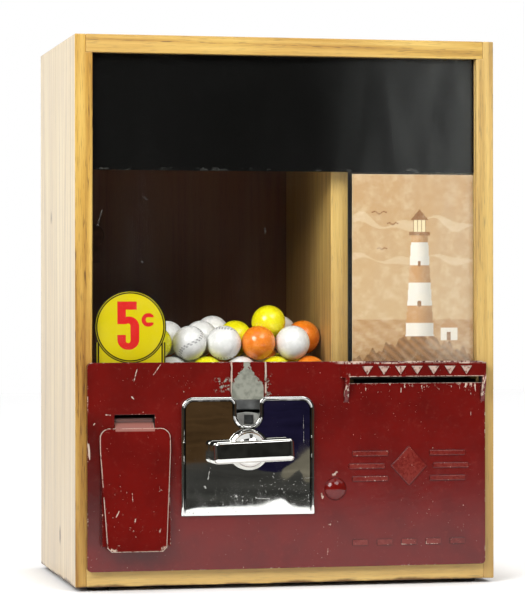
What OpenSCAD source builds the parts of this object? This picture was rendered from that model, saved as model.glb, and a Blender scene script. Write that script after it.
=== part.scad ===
// Coin-operated counter vending cabinet: oak box with a window, a painted front
// casting, a turn-handle coin mechanism, a gumball hopper and a flat-card magazine.
// Millimetres. +Z is up, +Y goes from the front to the back, +X is to the right
// as seen from the front. The origin is under the middle of the whole machine.

/* [Cabinet] */
// outside width of the wooden box
cab_w = 304.8; // [300:0.4:316]
// height of the wooden box without feet
cab_h = 387; // [380:1:410]
// depth of the wooden box
cab_d = 178; // [176:1:196]
// height of the rubber feet
foot_h = 3; // [2:0.5:6]
// diameter of the rubber feet
foot_d = 16; // [12:1:20]

/* [Window] */
// thickness of the window glass
glass_t = 3; // [2.5:0.5:3]
// height of the black mask at the top of the window
mask_h = 82; // [60:1:100]

/* [Front casting] */
// thickness of the casting's plate
cast_t = 5; // [4.5:0.25:6]
// how far the hood over the card slot stands out of the plate
hood_t = 5; // [3:0.5:8]
// height of the card slot
slot_h = 4.4; // [4.3:0.1:5]
// how far the raised ornaments stand out
relief_t = 0.8; // [0.5:0.1:1.2]

/* [Coin mechanism] */
// thickness of the coin plate
plate_t = 3; // [2.5:0.5:4]
// width of the U notch in the coin plate
notch_w = 18; // [17:0.5:21]
// width of the handle bar
handle_w = 58; // [50:1:66]
// height of the handle bar at its front
handle_h = 16; // [14:0.5:18]
// how far the handle stands out of the coin plate
handle_len = 17.5; // [16:0.5:20]
// tilt of the handle where it came to rest
handle_tilt = 2; // [0:0.2:5]
// diameter of the handle shaft
shaft_d = 10; // [9:0.5:11]

/* [Gum side] */
// diameter of one gumball
ball_d = 25; // [24:0.25:25]
// width of the flap at its top
flap_w = 50; // [46:0.5:52]
// width of the flap at its bottom
flap_low_w = 42; // [38:0.5:44]

/* [Card side] */
// width of one card
card_w = 86; // [80:0.5:87]
// room between the end of the cards and the back door
card_room = 6; // [4:0.5:14]
// height of the stack of cards
stack_h = 40; // [5:1:60]
// diameter of the cross shaft
cross_d = 8; // [7:0.5:9]

/* [Hidden] */
$fn = 64;
// boards, joints and clearances
board_t = 12.7;
lip_w = 8;
gap = 0.3;
run = 0.05;
inner_x = cab_w / 2 - board_t;
z0 = foot_h;
z_in0 = foot_h + board_t;
z_top = foot_h + cab_h;
z_in1 = z_top - board_t;
// window
glass_e = 4;
glass_back = glass_e + glass_t;
groove_d = 4;
glass_z0 = z0 + 148;
mask_t = 0.5;
// casting
cast_x = cab_w / 2 - lip_w;
cast_z0 = z0 + 11;
cast_z1 = z0 + 157;
// divider: the card side is as wide as a card and its clearance
card_side = card_w + 4.5;
div_x1 = inner_x - card_side;
div_x0 = div_x1 - board_t;
slot_x0 = div_x1 - 5.7;
slot_x1 = cast_x - 3.4;
slot_z = z0 + 143.8;
hood_z = z0 + 128;
// front bolt, flap and the coin plate that fills the room between them
bolt_x = div_x0 - 3;
bolt_head_r = 8.1;
flap_x = -cast_x + 8.4 + flap_w / 2;
plate_x0 = flap_x + flap_w / 2 + 7.7;
plate_x1 = bolt_x - bolt_head_r - 7.9;
plate_w = plate_x1 - plate_x0;
// coin mechanism and handle axis
ax_x = (plate_x0 + plate_x1) / 2;
ax_z = z0 + 95.6;
plate_z0 = z0 + 49.3;
plate_z1 = z0 + 132.6;
plate_f = -cast_t - plate_t;
notch_r = notch_w / 2;
notch_z = z0 + 112 + notch_r;
wheel_r = 26;
wheel_e0 = -cast_t + 0.4;
wheel_e1 = -cast_t + 2.6;
step_e = -cast_t + 3;
guide_x = 12.3;
guide_dx = 0.8;
shaft_r = shaft_d / 2;
bracket_e0 = 142;
bracket_t = 4;
shaft_e1 = bracket_e0 + bracket_t + 3.5;
handle_back = plate_f - gap;
handle_front = plate_f - handle_len;
// gum drum
drum_r = 34;
drum_e0 = 36;
drum_e1 = 64;
drum_e = (drum_e0 + drum_e1) / 2;
pocket_r = 13.5;
// crown wheel and lantern pinion
peg_n = 12;
peg_r = 2;
pitch_r = 26;
crown_e0 = 132;
crown_e1 = 137;
peg_e0 = 124.5;
cross_e = 102;
cross_z = ax_z;
cross_r = cross_d / 2;
pin_x0 = ax_x + 12;
pin_x1 = ax_x + 36;
cage_t = 2;
// divider and card side
div_e0 = 20;
div_e1 = cab_d - 13;
card_z = slot_z + 0.1;
card_t = 0.5;
floor_t = 3;
floor_z1 = card_z - gap;
card_x = (div_x1 + inner_x) / 2;
card_e0 = 24;
door_t = 10;
door_e0 = cab_d - door_t;
card_l = door_e0 - card_room - card_e0;
show_w = card_side - 1;
show_h = 139.2;
stack_z0 = card_z + card_t + gap;
stack_z1 = stack_z0 + stack_h;
tyre_r = floor_z1 - cross_z;
hub_r = tyre_r - 4;
feed_w = 14;
feed_dx = 24.5;
bush_r = 8;
bush_l = 10;
// hopper floor: inclined plane through the lowest front gumballs
ball_r = ball_d / 2;
pitch = ball_d + gap;
deep_z = 3.5;
deep_e = sqrt(pitch * pitch * 3 / 4 - deep_z * deep_z);
slope = atan2(deep_z, deep_e);
low_e = 33;
low_z = z0 + 148;
hop_t = 1.5;
hop_e0 = div_e0 - 0.4;
hop_e1 = cab_d - 14;
// flap
flap_t = 1.6;
flap_z1 = z0 + 111;
flap_z0 = z0 + 25.3;
flap_hinge_e = 1;
flap_hinge_z = z0 + 116.5;
flap_pin_r = 1.5;
flap_tilt = 6;
tab_w = 27.6;
cheek_in = flap_low_w;
cheek_w = cheek_in + 6;
cup_z0 = z0 + 29;
// front bolt
bolt_z = z0 + 66.4;
bolt_r = 3.175;
block_x0 = bolt_x - 11.5;
block_z0 = z0 + 36;
block_z1 = z0 + 97;
nut_af = 11;
nut_t = 5.5;
// back door and hinges
door_gap = 1;
door_x = inner_x - door_gap;
hinge_x = inner_x - 0.5;
leaf_t = 1.2;
knuckle_r = 2.4;
hinge_e = cab_d + knuckle_r + 0.4;
hinge_pin_r = 1.2;
hinge_h = 40;
hinge_zs = [z0 + 70, z_top - 110];
hinge_cut = 2.9;
lock_x = -inner_x + 24.7;
lock_z = z0 + 250;
plug_r = 5;
// pawl
pawl_x = ax_x + 26;
pawl_z = ax_z + 16;
ratchet_r = 18;
ratchet_e0 = 5;
ratchet_e1 = 9;
// whole depth, and where the wood's front plane lies so the machine is centred
front_reach = -handle_front;
back_reach = hinge_e + knuckle_r;
front_y = (front_reach - back_reach) / 2;

// drawing helpers: e is the depth behind the wood's front plane
module bx(x0, x1, e0, e1, za, zb) {
    translate([x0, front_y + e0, za])
        cube([x1 - x0, e1 - e0, zb - za]);
}
module cy(x, z, r, e0, e1) {
    translate([x, front_y + e1, z])
        rotate([90, 0, 0])
            cylinder(r = r, h = e1 - e0);
}
module cx(e, z, r, x0, x1) {
    translate([x0, front_y + e, z])
        rotate([0, 90, 0])
            cylinder(r = r, h = x1 - x0);
}
module cz(x, e, r, za, zb) {
    translate([x, front_y + e, za])
        cylinder(r = r, h = zb - za);
}
module xz(e0, e1) {
    translate([0, front_y + e1, 0])
        rotate([90, 0, 0])
            linear_extrude(e1 - e0)
                children();
}
module ez(x0, x1) {
    translate([x0, front_y, 0])
        rotate([90, 0, 90])
            linear_extrude(x1 - x0)
                children();
}
module rounded(x0, x1, za, zb, r) {
    translate([x0 + r, za])
        square([x1 - x0 - 2 * r, zb - za]);
    translate([x0, za + r])
        square([x1 - x0, zb - za - 2 * r]);
    for (x = [x0 + r, x1 - r])
        for (z = [za + r, zb - r])
            translate([x, z])
                circle(r);
}

// height of the hopper floor's upper side at depth e
function hop_z(e) = low_z - ball_r * cos(slope)
    + (e - low_e - ball_r * sin(slope)) * tan(slope);
hop_v = hop_t / cos(slope);

// oak carcass
module side_board(s) {
    outer = cab_w / 2;
    difference() {
        if (s < 0) {
            bx(-outer, -inner_x, 0, cab_d, z0, z_top);
        } else {
            bx(inner_x, outer, 0, cab_d, z0, z_top);
        }
        for (z = [z0 - 1, z_in1])
            if (s < 0) {
                bx(-cast_x, -inner_x + 1, -1, cab_d + 1, z, z + board_t + 1);
            } else {
                bx(inner_x - 1, cast_x, -1, cab_d + 1, z, z + board_t + 1);
            }
        if (s < 0) {
            bx(-inner_x - groove_d, -inner_x + 1, glass_e, glass_back, glass_z0, z_in1 + 1);
        } else {
            bx(inner_x - 1, inner_x + groove_d, glass_e, glass_back, glass_z0, z_in1 + 1);
        }
        for (p = casting_pin_sites())
            cy(p[0], p[1], pin_hole_r, -1, 12);
        if (s > 0) {
            cx(cross_e, cross_z, bush_r, inner_x - 1, inner_x + bush_l);
            for (p = hinge_screw_sites(1))
                cy(p[0], p[1], screw_r, cab_d - 9, cab_d + 1);
        }
    }
}
module side_left() {
    color("BurlyWood") side_board(-1);
}
module side_right() {
    color("BurlyWood") side_board(1);
}
module top_board() {
    color("BurlyWood") bx(-cast_x, cast_x, 0, cab_d, z_in1, z_top);
}
module bottom_board() {
    color("BurlyWood") bx(-cast_x, cast_x, 0, cab_d, z0, z_in0);
}
module divider() {
    color("BurlyWood") difference() {
        bx(div_x0, div_x1, div_e0, div_e1, z_in0, z_in1);
        cx(cross_e, cross_z, bush_r, div_x0 - 1, div_x1 + 1);
        bx(div_x0 - 1, div_x1 + 1, div_e0 - 1, div_e0 + 14, bolt_z - 12, bolt_z + 12);
    }
}
module feet() {
    color("DimGray") for (x = [-1, 1])
        for (e = [16, cab_d - 16])
            cz(x * (cab_w / 2 - 18), e, foot_d / 2, 0, foot_h);
}

// window
module window_glass() {
    color("LightCyan", 0.4)
        bx(-inner_x - groove_d, inner_x + groove_d, glass_e, glass_back, glass_z0, z_in1);
}
module glass_mask() {
    color("Black") bx(-inner_x, inner_x, glass_back, glass_back + mask_t, z_in1 - mask_h, z_in1);
}
module glass_sill() {
    color("Gray") union() {
        bx(-inner_x, inner_x, glass_e - 3, glass_back + 1.4, glass_z0 - 1.5, glass_z0);
        bx(-inner_x, div_x0, glass_back, hop_e0 - 0.2, glass_z0 - 1.5, glass_z0);
        bx(-inner_x, inner_x, glass_e - 3, glass_e - 1.6, glass_z0 - 1.5, glass_z0 + 7);
    }
}
decal_x = -inner_x + 29.5;
decal_z = z0 + 181.6;
module price_decal() {
    color("Yellow") xz(glass_back, glass_back + 0.25) {
        translate([decal_x, decal_z])
            circle(25);
        translate([decal_x - 25, z0 + 152])
            square([50, 19]);
    }
}

// front casting
pin_hole_r = 1.5;
screw_r = 1.4;
function casting_pin_sites() = [for (s = [-1, 1]) for (z = [cast_z0 + 16, cast_z1 - 18])
    [s * (inner_x + 2.3), z]];
module casting_pins() {
    color("Silver") for (p = casting_pin_sites())
        cy(p[0], p[1], pin_hole_r, -cast_t + 2, 12);
}
module cheek_profile() {
    drop = (flap_hinge_z - 7.5 - cup_z0) * tan(flap_tilt);
    polygon([[-cast_t + 1, flap_hinge_z - 7.5], [-cast_t - 0.1, flap_hinge_z - 7.5],
        [-cast_t - 0.1 - drop, cup_z0], [-cast_t + 1, cup_z0]]);
}
module front_casting() {
    color("FireBrick") difference() {
        union() {
            xz(-cast_t, 0)
                rounded(-cast_x, cast_x, cast_z0, cast_z1, 3);
            hood();
            for (s = [-1, 1])
                ez(flap_x + (s < 0 ? -cheek_w / 2 : cheek_in / 2),
                    flap_x + (s < 0 ? -cheek_in / 2 : cheek_w / 2))
                    cheek_profile();
            ez(flap_x - cheek_w / 2, flap_x + cheek_w / 2)
                polygon([[-cast_t + 1, cup_z0], [-cast_t - 7, cup_z0],
                    [-cast_t - 7, cup_z0 + 1.6], [-cast_t + 1, cup_z0 + 3]]);
            for (s = [-1, 1])
                bx(flap_x + s * 17 - 2, flap_x + s * 17 + 2, -0.5, 4, flap_hinge_z - 4, flap_hinge_z + 4);
            coin_guides();
            ornaments();
        }
        bx(slot_x0, slot_x1, -cast_t - hood_t - 2, 1, slot_z - slot_h / 2, slot_z + slot_h / 2);
        cy(ax_x, ax_z, wheel_r + 1.5, -cast_t - 1, 1);
        bx(ax_x - 12, ax_x + 12, -cast_t - 1, 1, ax_z, z0 + 130.5);
        bx(flap_x - tab_w / 2 - 0.5, flap_x + tab_w / 2 + 0.5, -cast_t - 1, 5,
            z0 + 108, z0 + 120.6);
        bx(flap_x - cheek_in / 2, flap_x + cheek_in / 2, -cast_t - 1, 1, cup_z0 + 3, z0 + 97);
        cx(flap_hinge_e, flap_hinge_z, flap_pin_r, flap_x - 19, flap_x + 19);
        cy(bolt_x, bolt_z, bolt_r, -cast_t - 1, 1);
        for (p = stud_sites())
            cy(p[0], p[1], 2, -cast_t - 1, 1);
        for (p = casting_pin_sites())
            cy(p[0], p[1], pin_hole_r, -cast_t + 2, 1);
    }
}
module hood() {
    left = slot_x0 - 3.5;
    top_z = slot_z + slot_h / 2;
    xz(-cast_t - hood_t, -cast_t + 0.5)
        translate([left, top_z - 0.5])
            square([cast_x - left - 0.6, cast_z1 - 0.8 - top_z + 0.5]);
    translate([0, 0, top_z - 0.5])
        linear_extrude(cast_z1 - 0.8 - top_z + 0.5)
            polygon([[left - 3, front_y - cast_t + 0.5], [left - 3, front_y - cast_t],
                [left + 0.1, front_y - cast_t - hood_t], [left + 0.1, front_y - cast_t + 0.5]]);
    for (x = [left, slot_x1])
        ez(x, x + 2.8)
            polygon([[-cast_t + 0.5, hood_z], [-cast_t, hood_z],
                [-cast_t - hood_t, slot_z - 3], [-cast_t - hood_t, top_z],
                [-cast_t + 0.5, top_z]]);
}
// two thin ridges that guide the coin down to the notch
module coin_guides() {
    for (s = [-1, 1])
        bx(ax_x + guide_dx + s * guide_x - 0.6, ax_x + guide_dx + s * guide_x + 0.6, -cast_t - 0.9, -cast_t + 0.5,
            plate_z1 - 1, cast_z1 - 2);
}
// plain raised shapes where the maker's words were
module ornaments() {
    band_z = slot_z + slot_h / 2 + 1.6;
    arrow_n = 7;
    step = (slot_x1 - slot_x0 - 12) / arrow_n;
    xz(-cast_t - hood_t - relief_t, -cast_t - hood_t + 0.5)
        for (i = [0 : arrow_n - 1])
            translate([slot_x0 + 6 + step * (i + 0.5), band_z])
                polygon([[-4, 6], [4, 6], [0, 0]]);
    mid_x = cast_x - 56.9;
    mid_z = z0 + 82.3;
    xz(-cast_t - relief_t, -cast_t + 0.5) {
        translate([mid_x, mid_z])
            polygon([[-13, 0], [0, 14], [13, 0], [0, -14]]);
        for (s = [-1, 1])
            for (k = [0 : 2])
                translate([mid_x + s * (31 - 2.5 * abs(k - 1)) - 13, mid_z + 9 * (k - 1) - 1.6])
                    square([26, 3.2]);
        for (k = [0 : 4])
            translate([slot_x0 + 2.5 + 18 * k, z0 + 26])
                square([11, 4]);
    }
}
module casting_block() {
    color("BurlyWood") difference() {
        bx(block_x0, div_x1, 0, div_e0, block_z0, block_z1);
        cy(bolt_x, bolt_z, bolt_r, -1, div_e0 + 1);
    }
}
module front_bolt() {
    head_h = 4;
    ball = (bolt_head_r * bolt_head_r + head_h * head_h) / (2 * head_h);
    color("FireBrick") union() {
        intersection() {
            translate([bolt_x, front_y - cast_t - head_h + ball, bolt_z])
                sphere(ball);
            bx(bolt_x - 10, bolt_x + 10, -cast_t - head_h - 1, -cast_t, bolt_z - 10, bolt_z + 10);
        }
        cy(bolt_x, bolt_z, bolt_r, -cast_t, div_e0 + 8);
    }
}
module hex_nut(x, z, af, e0, e1, r) {
    translate([x, front_y + e1, z])
        rotate([90, 0, 0])
            difference() {
                cylinder(r = af / sqrt(3), h = e1 - e0, $fn = 6);
                translate([0, 0, -1])
                    cylinder(r = r, h = e1 - e0 + 2);
            }
}
module front_bolt_nut() {
    color("Silver") hex_nut(bolt_x, bolt_z, nut_af, div_e0, div_e0 + nut_t, bolt_r);
}

// coin mechanism, fixed pieces
function stud_sites() = [for (s = [-1, 1]) for (z = [plate_z0 + 8, plate_z1 - 8])
    [ax_x + s * (plate_w / 2 - 6), z]];
module plate_outline() {
    w = plate_w / 2;
    r = 9;
    sr = 5.5;
    difference() {
        union() {
            translate([ax_x - w, plate_z0])
                square([plate_w, plate_z1 - plate_z0 - r]);
            translate([ax_x - w + r, plate_z0 + 10])
                square([plate_w - 2 * r, plate_z1 - plate_z0 - 10]);
            for (s = [-1, 1])
                translate([ax_x + s * (w - r), plate_z1 - r])
                    circle(r);
        }
        translate([ax_x, notch_z])
            circle(notch_r);
        translate([ax_x - notch_r, notch_z])
            square([notch_w, plate_z1 - notch_z + 1]);
        for (s = [-1, 1])
            difference() {
                translate([ax_x + s * (notch_r + sr / 2) - sr / 2, plate_z1 - sr])
                    square([sr, sr + 1]);
                translate([ax_x + s * (notch_r + sr), plate_z1 - sr])
                    circle(sr);
            }
    }
}
module coin_plate() {
    color("Silver") difference() {
        xz(plate_f, -cast_t)
            plate_outline();
        cy(ax_x, ax_z, shaft_r + run, plate_f - 1, -cast_t + 1);
        for (p = stud_sites())
            cy(p[0], p[1], 2, -cast_t - 1.5, -cast_t + 1);
    }
}
module plate_studs() {
    color("Silver") for (p = stud_sites())
        cy(p[0], p[1], 2, -cast_t - 1.5, 7);
}
module plate_nuts() {
    color("Silver") for (p = stud_sites())
        hex_nut(p[0], p[1], 7, 0, 3.2, 2);
}
module coin_housing() {
    color("Gray") difference() {
        union() {
            xz(0, 3) {
                rounded(ax_x - 34, ax_x + 34, ax_z - 32, ax_z + 24, 4);
                translate([ax_x - 14, ax_z])
                    square([28, 36]);
            }
            cy(ax_x, ax_z, wheel_r + 1.5, step_e, 0);
            cy(ax_x, ax_z, 9, 0, 4.6);
        }
        cy(ax_x, ax_z, shaft_r + run, -cast_t, 6);
        bx(ax_x - 12, ax_x + 12, -cast_t, 4, ax_z - 26, ax_z - 14);
        cy(pawl_x, pawl_z, 2, -1, 4);
    }
}
module pawl_pin() {
    color("Silver") union() {
        cy(pawl_x, pawl_z, 2, 0, 10);
        cy(pawl_x, pawl_z, 3.4, 10, 11.2);
    }
}
module coin_chute() {
    color("Gray") difference() {
        bx(ax_x - 14.5, ax_x + 14.5, 0, 7, z0 + 28, ax_z - 32);
        bx(ax_x - 13, ax_x + 13, -1, 5.8, z0 + 27, ax_z - 31);
    }
}
tray_x0 = ax_x - 44.6;
tray_x1 = div_x0 - 16.5;
module coin_tray() {
    color("Gray") difference() {
        bx(tray_x0, tray_x1, 2, 136, z_in0, z_in0 + 13);
        bx(tray_x0 + 1, tray_x1 - 1, 3, 135, z_in0 + 1, z_in0 + 14);
    }
}
module rear_bracket() {
    color("Gray") difference() {
        union() {
            xz(bracket_e0, bracket_e0 + bracket_t)
                rounded(ax_x - 15, ax_x + 15, z_in0, ax_z + 15, 3);
            bx(ax_x - 26, ax_x + 26, bracket_e0, bracket_e0 + bracket_t + 3.5, z_in0, z_in0 + 3);
            cy(ax_x, ax_z, 10, bracket_e0 - 2, bracket_e0 + bracket_t + 2);
        }
        cy(ax_x, ax_z, shaft_r + run, bracket_e0 - 3, bracket_e0 + bracket_t + 3);
    }
}

// gum side, fixed pieces
module hopper_floor() {
    color("SaddleBrown") difference() {
        union() {
            ez(-inner_x, div_x0)
                polygon([[hop_e0, hop_z(hop_e0)], [hop_e1, hop_z(hop_e1)],
                    [hop_e1, hop_z(hop_e1) - hop_v], [hop_e0, hop_z(hop_e0) - hop_v]]);
            bx(-inner_x, div_x0, hop_e0 - 0.2, hop_e0 + 0.8, hop_z(hop_e0) - hop_v, glass_z0 + 6);
        }
        cz(ax_x, drum_e, pocket_r + 0.5, z0 + 100, z0 + 200);
    }
}
module drum_housing() {
    r_in = drum_r + 0.5;
    r_out = r_in + 2;
    color("Gray") difference() {
        union() {
            cy(ax_x, ax_z, r_out, drum_e0 - 3, drum_e1 + 3);
            for (s = [-1, 1])
                ez(ax_x + s * (r_out - 4) - 2, ax_x + s * (r_out - 4) + 2)
                    polygon([[drum_e0 - 3, ax_z + 18], [drum_e1 + 3, ax_z + 18],
                        [drum_e1 + 3, hop_z(drum_e1 + 3) - hop_v],
                        [drum_e0 - 3, hop_z(drum_e0 - 3) - hop_v]]);
        }
        cy(ax_x, ax_z, r_in, drum_e0 - 1, drum_e1 + 1);
        cy(ax_x, ax_z, shaft_r + 1, drum_e0 - 4, drum_e1 + 4);
        bx(ax_x - 15, ax_x + 15, drum_e0 - 1, drum_e1 + 1, ax_z + 10, ax_z + 60);
        bx(ax_x - 15, ax_x + 15, drum_e0 - 1, drum_e1 + 1, ax_z - 60, ax_z - 10);
    }
}
// tilted tray that leads a gumball to the cup behind the flap
module gum_chute() {
    chute_x1 = ax_x + 36.4;
    inside = chute_x1 + inner_x - 5.7;
    color("Gray") difference() {
        intersection() {
            translate([-inner_x, front_y, z0 + 26])
                rotate([4, -5, 0])
                    difference() {
                        translate([-10, -20, 0])
                            cube([inside + 30, 100, 24]);
                        translate([1.2, -30, 1.2])
                            cube([inside, 97, 40]);
                    }
            bx(-inner_x, chute_x1, 0.5, drum_e1 + 5, z_in0, ax_z - drum_r - 4);
        }
        bx(flap_x + 27, chute_x1 + 24, -1, 8, z0, ax_z);
    }
}
module flap_pin() {
    color("Silver") cx(flap_hinge_e, flap_hinge_z, flap_pin_r, flap_x - 19, flap_x + 19);
}
// gumballs: layers lean with the hopper floor, each ball rests in the hollows of the last
layer_z = pitch * sqrt(3) / 2;
ball_x0 = div_x0 - 12.8;
function ball_at(sheet, row, i) = [
    ball_x0 - pitch * (i + (row % 2 == 1 ? 0.5 : 0) + (sheet % 2 == 1 ? 0.5 : 0)
        - (row % 2 == 1 && sheet % 2 == 1 ? 1 : 0)),
    low_e + deep_e * sheet,
    low_z + layer_z * row + deep_z * sheet];
row_a0 = [3, 2, 1, 2, 1, 2];
row_a1 = [1, 3, 1, 1, 2];
row_b0 = [2, 1, 3, 1, 2, 1];
row_b1 = [3, 0, 2, 1, 1, 2];
row_c0 = [1, 3, 2, 1, 3, 2];
row_c1 = [1, 0, 1, 0, 0];
top_ball = [ball_x0 - pitch - 1.4, low_e + 17.3, low_z + layer_z + 14.6];
module ball_row(colours, sheet, row, want) {
    for (i = [0 : len(colours) - 1])
        if (colours[i] == want) {
            p = ball_at(sheet, row, i);
            if (p[0] - ball_r > gap - inner_x) {
                translate([p[0], front_y + p[1], p[2]])
                    sphere(ball_r);
            }
        }
}
module gumballs(want) {
    ball_row(row_a0, 0, 0, want);
    ball_row(row_a1, 0, 1, want);
    ball_row(row_b0, 1, 0, want);
    ball_row(row_b1, 1, 1, want);
    ball_row(row_c0, 2, 0, want);
    ball_row(row_c1, 2, 1, want);
    if (want == 2) {
        translate([top_ball[0], front_y + top_ball[1], top_ball[2]])
            sphere(ball_r);
    }
}
module gumballs_white() {
    color("White") gumballs(1);
}
module gumballs_yellow() {
    color("Yellow") gumballs(2);
}
module gumballs_orange() {
    color("Orange") gumballs(3);
}

// card side, fixed pieces
module card_floor() {
    color("Gray") difference() {
        bx(div_x1, inner_x, 4, hop_e1, floor_z1 - floor_t, floor_z1);
        for (s = [-1, 1])
            bx(card_x + s * feed_dx - feed_w / 2 - 2, card_x + s * feed_dx + feed_w / 2 + 2,
                cross_e - 21, cross_e + 21, floor_z1 - floor_t - 1, floor_z1 + 1);
    }
}
show_z0 = z0 + 151.8;
ledge_t = 1.4;
module magazine_front() {
    color("Gray") union() {
        bx(div_x1, inner_x, 20.6, 22, stack_z0, z0 + 245);
        bx(div_x1, inner_x, glass_back + 0.2, 20.6, show_z0 - ledge_t, show_z0);
    }
}
module display_card() {
    color("Tan") bx(card_x - show_w / 2, card_x + show_w / 2, glass_back + mask_t + 0.1,
        glass_back + mask_t + 0.7, show_z0, show_z0 + show_h);
}
module card_stack() {
    color("AntiqueWhite")
        bx(card_x - card_w / 2, card_x + card_w / 2, card_e0, card_e0 + card_l, stack_z0, stack_z1);
}
module shaft_bushes() {
    color("Peru") difference() {
        union() {
            cx(cross_e, cross_z, bush_r, div_x0, div_x1);
            cx(cross_e, cross_z, bush_r, inner_x, inner_x + bush_l);
        }
        cx(cross_e, cross_z, cross_r + run, div_x0 - 1, inner_x + bush_l + 1);
    }
}

// hinges and lock keeper on the cabinet
function hinge_screw_sites(s) = [for (z = hinge_zs) for (k = [8, hinge_h - 8])
    [hinge_x + s * 8.6, z + k]];
module screw_at(p, e0, e1) {
    cy(p[0], p[1], screw_r, e0, e1);
    cy(p[0], p[1], 2.8, e1, e1 + 0.9);
}
module hinge_leaves() {
    color("Peru") difference() {
        for (z = hinge_zs) {
            bx(hinge_x + hinge_cut, cab_w / 2 - 0.5, cab_d, cab_d + leaf_t, z, z + hinge_h);
            for (k = [0, hinge_h - 13]) {
                bx(hinge_x + 0.4, hinge_x + hinge_cut + 1, cab_d + 0.2, cab_d + leaf_t, z + k, z + k + 13);
                cz(hinge_x, hinge_e, knuckle_r, z + k, z + k + 13);
            }
        }
        for (z = hinge_zs)
            cz(hinge_x, hinge_e, hinge_pin_r, z - 1, z + hinge_h + 1);
        for (p = hinge_screw_sites(1))
            cy(p[0], p[1], screw_r, cab_d - 1, cab_d + 3);
    }
}
module hinge_pins() {
    color("Silver") for (z = hinge_zs)
        cz(hinge_x, hinge_e, hinge_pin_r, z, z + hinge_h);
}
module hinge_screws() {
    color("Peru") for (p = hinge_screw_sites(1))
        screw_at(p, cab_d - 9, cab_d + leaf_t);
}
module lock_keeper() {
    color("Silver") union() {
        bx(-inner_x, lock_x - 10, door_e0 - 8.7, door_e0 - 7, lock_z - 16, lock_z + 16);
        bx(-inner_x, -inner_x + 1.5, door_e0 - 24, door_e0 - 7, lock_z - 16, lock_z + 16);
    }
}

// handle and what turns with it
module handle() {
    hub_r0 = 14.4;
    hub_h = 12.2;
    bar_dx = 1.1;
    bar_dz = -0.9;
    ball = (hub_r0 * hub_r0 + hub_h * hub_h) / (2 * hub_h);
    back = handle_back;
    color("Silver") translate([ax_x, 0, ax_z]) rotate([0, -handle_tilt, 0])
        difference() {
            union() {
                cy(0, 0, hub_r0 + 0.2, back - 1.5, back);
                intersection() {
                    translate([0, front_y + back - 1.3 - hub_h + ball, 0])
                        sphere(ball);
                    bx(-20, 20, back - 14, back - 1.3, -20, 20);
                }
                translate([bar_dx, 0, bar_dz]) ez(-handle_w / 2, handle_w / 2)
                    polygon([[back, -handle_h / 2 - 1], [back, handle_h / 2 + 1],
                        [handle_front + 2, handle_h / 2], [handle_front, handle_h / 2 - 2],
                        [handle_front, -handle_h / 2 + 4], [handle_front + 4, -handle_h / 2]]);
            }
            cy(0, 0, shaft_r, back - 12, back + 1);
        }
}
module handle_shaft() {
    color("Silver") cy(ax_x, ax_z, shaft_r, handle_back - 12, shaft_e1);
}
module coin_wheel() {
    color("Gray") difference() {
        cy(ax_x, ax_z, wheel_r, wheel_e0, wheel_e1);
        cy(ax_x, ax_z, shaft_r, wheel_e0 - 1, wheel_e1 + 1);
        bx(ax_x - 2.2, ax_x + 4.2, wheel_e0 - 1, wheel_e1 + 1, ax_z + 17.5, ax_z + 24);
        translate([ax_x, 0, ax_z])
            rotate([0, 180, 0])
                cy(0, 32, 12, wheel_e0 - 1, wheel_e1 + 1);
    }
}
module ratchet_wheel() {
    teeth = 16;
    low = ratchet_r - 3;
    pts = [for (i = [0 : teeth - 1]) for (k = [0, 1])
        (k == 0 ? low : ratchet_r) * [cos(360 * i / teeth), sin(360 * i / teeth)]];
    color("Gray") translate([ax_x, 0, ax_z]) difference() {
        xz(ratchet_e0, ratchet_e1)
            polygon(pts);
        cy(0, 0, shaft_r, ratchet_e0 - 1, ratchet_e1 + 1);
    }
}
module gum_drum() {
    color("DarkGray") difference() {
        cy(ax_x, ax_z, drum_r, drum_e0, drum_e1);
        cy(ax_x, ax_z, shaft_r, drum_e0 - 1, drum_e1 + 1);
        cz(ax_x, drum_e, pocket_r, ax_z + drum_r - ball_d + 1, ax_z + drum_r + 5);
    }
}
module crown_wheel() {
    color("Gray") difference() {
        union() {
            cy(ax_x, ax_z, pitch_r + 4, crown_e0, crown_e1);
            cy(ax_x, ax_z, 9, crown_e0 - 5, crown_e1 + 2);
            for (i = [0 : peg_n - 1])
                cy(ax_x + pitch_r * cos(360 * i / peg_n), ax_z + pitch_r * sin(360 * i / peg_n),
                    peg_r, peg_e0, crown_e0 + 1);
        }
        cy(ax_x, ax_z, shaft_r, crown_e0 - 6, crown_e1 + 3);
    }
}

// cross shaft and what turns with it
module cross_shaft() {
    color("Silver") cx(cross_e, cross_z, cross_r, pin_x0 - cage_t, inner_x + bush_l - 0.5);
}
module lantern_pinion() {
    color("Gray") difference() {
        union() {
            cx(cross_e, cross_z, pitch_r + 2.5, pin_x0 - cage_t, pin_x0);
            cx(cross_e, cross_z, pitch_r + 2.5, pin_x1, pin_x1 + cage_t);
            cx(cross_e, cross_z, 7, pin_x1, pin_x1 + 10);
            for (i = [0 : peg_n - 1]) {
                a = 360 * (i + 0.5) / peg_n;
                cx(cross_e + pitch_r * cos(a), cross_z + pitch_r * sin(a), peg_r,
                    pin_x0 - cage_t / 2, pin_x1 + cage_t / 2);
            }
        }
        cx(cross_e, cross_z, cross_r, pin_x0 - cage_t - 1, pin_x1 + 11);
    }
}
module feed_hubs() {
    color("Gray") for (s = [-1, 1])
        difference() {
            cx(cross_e, cross_z, hub_r, card_x + s * feed_dx - feed_w / 2, card_x + s * feed_dx + feed_w / 2);
            cx(cross_e, cross_z, cross_r, card_x + s * feed_dx - feed_w, card_x + s * feed_dx + feed_w);
        }
}
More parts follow.
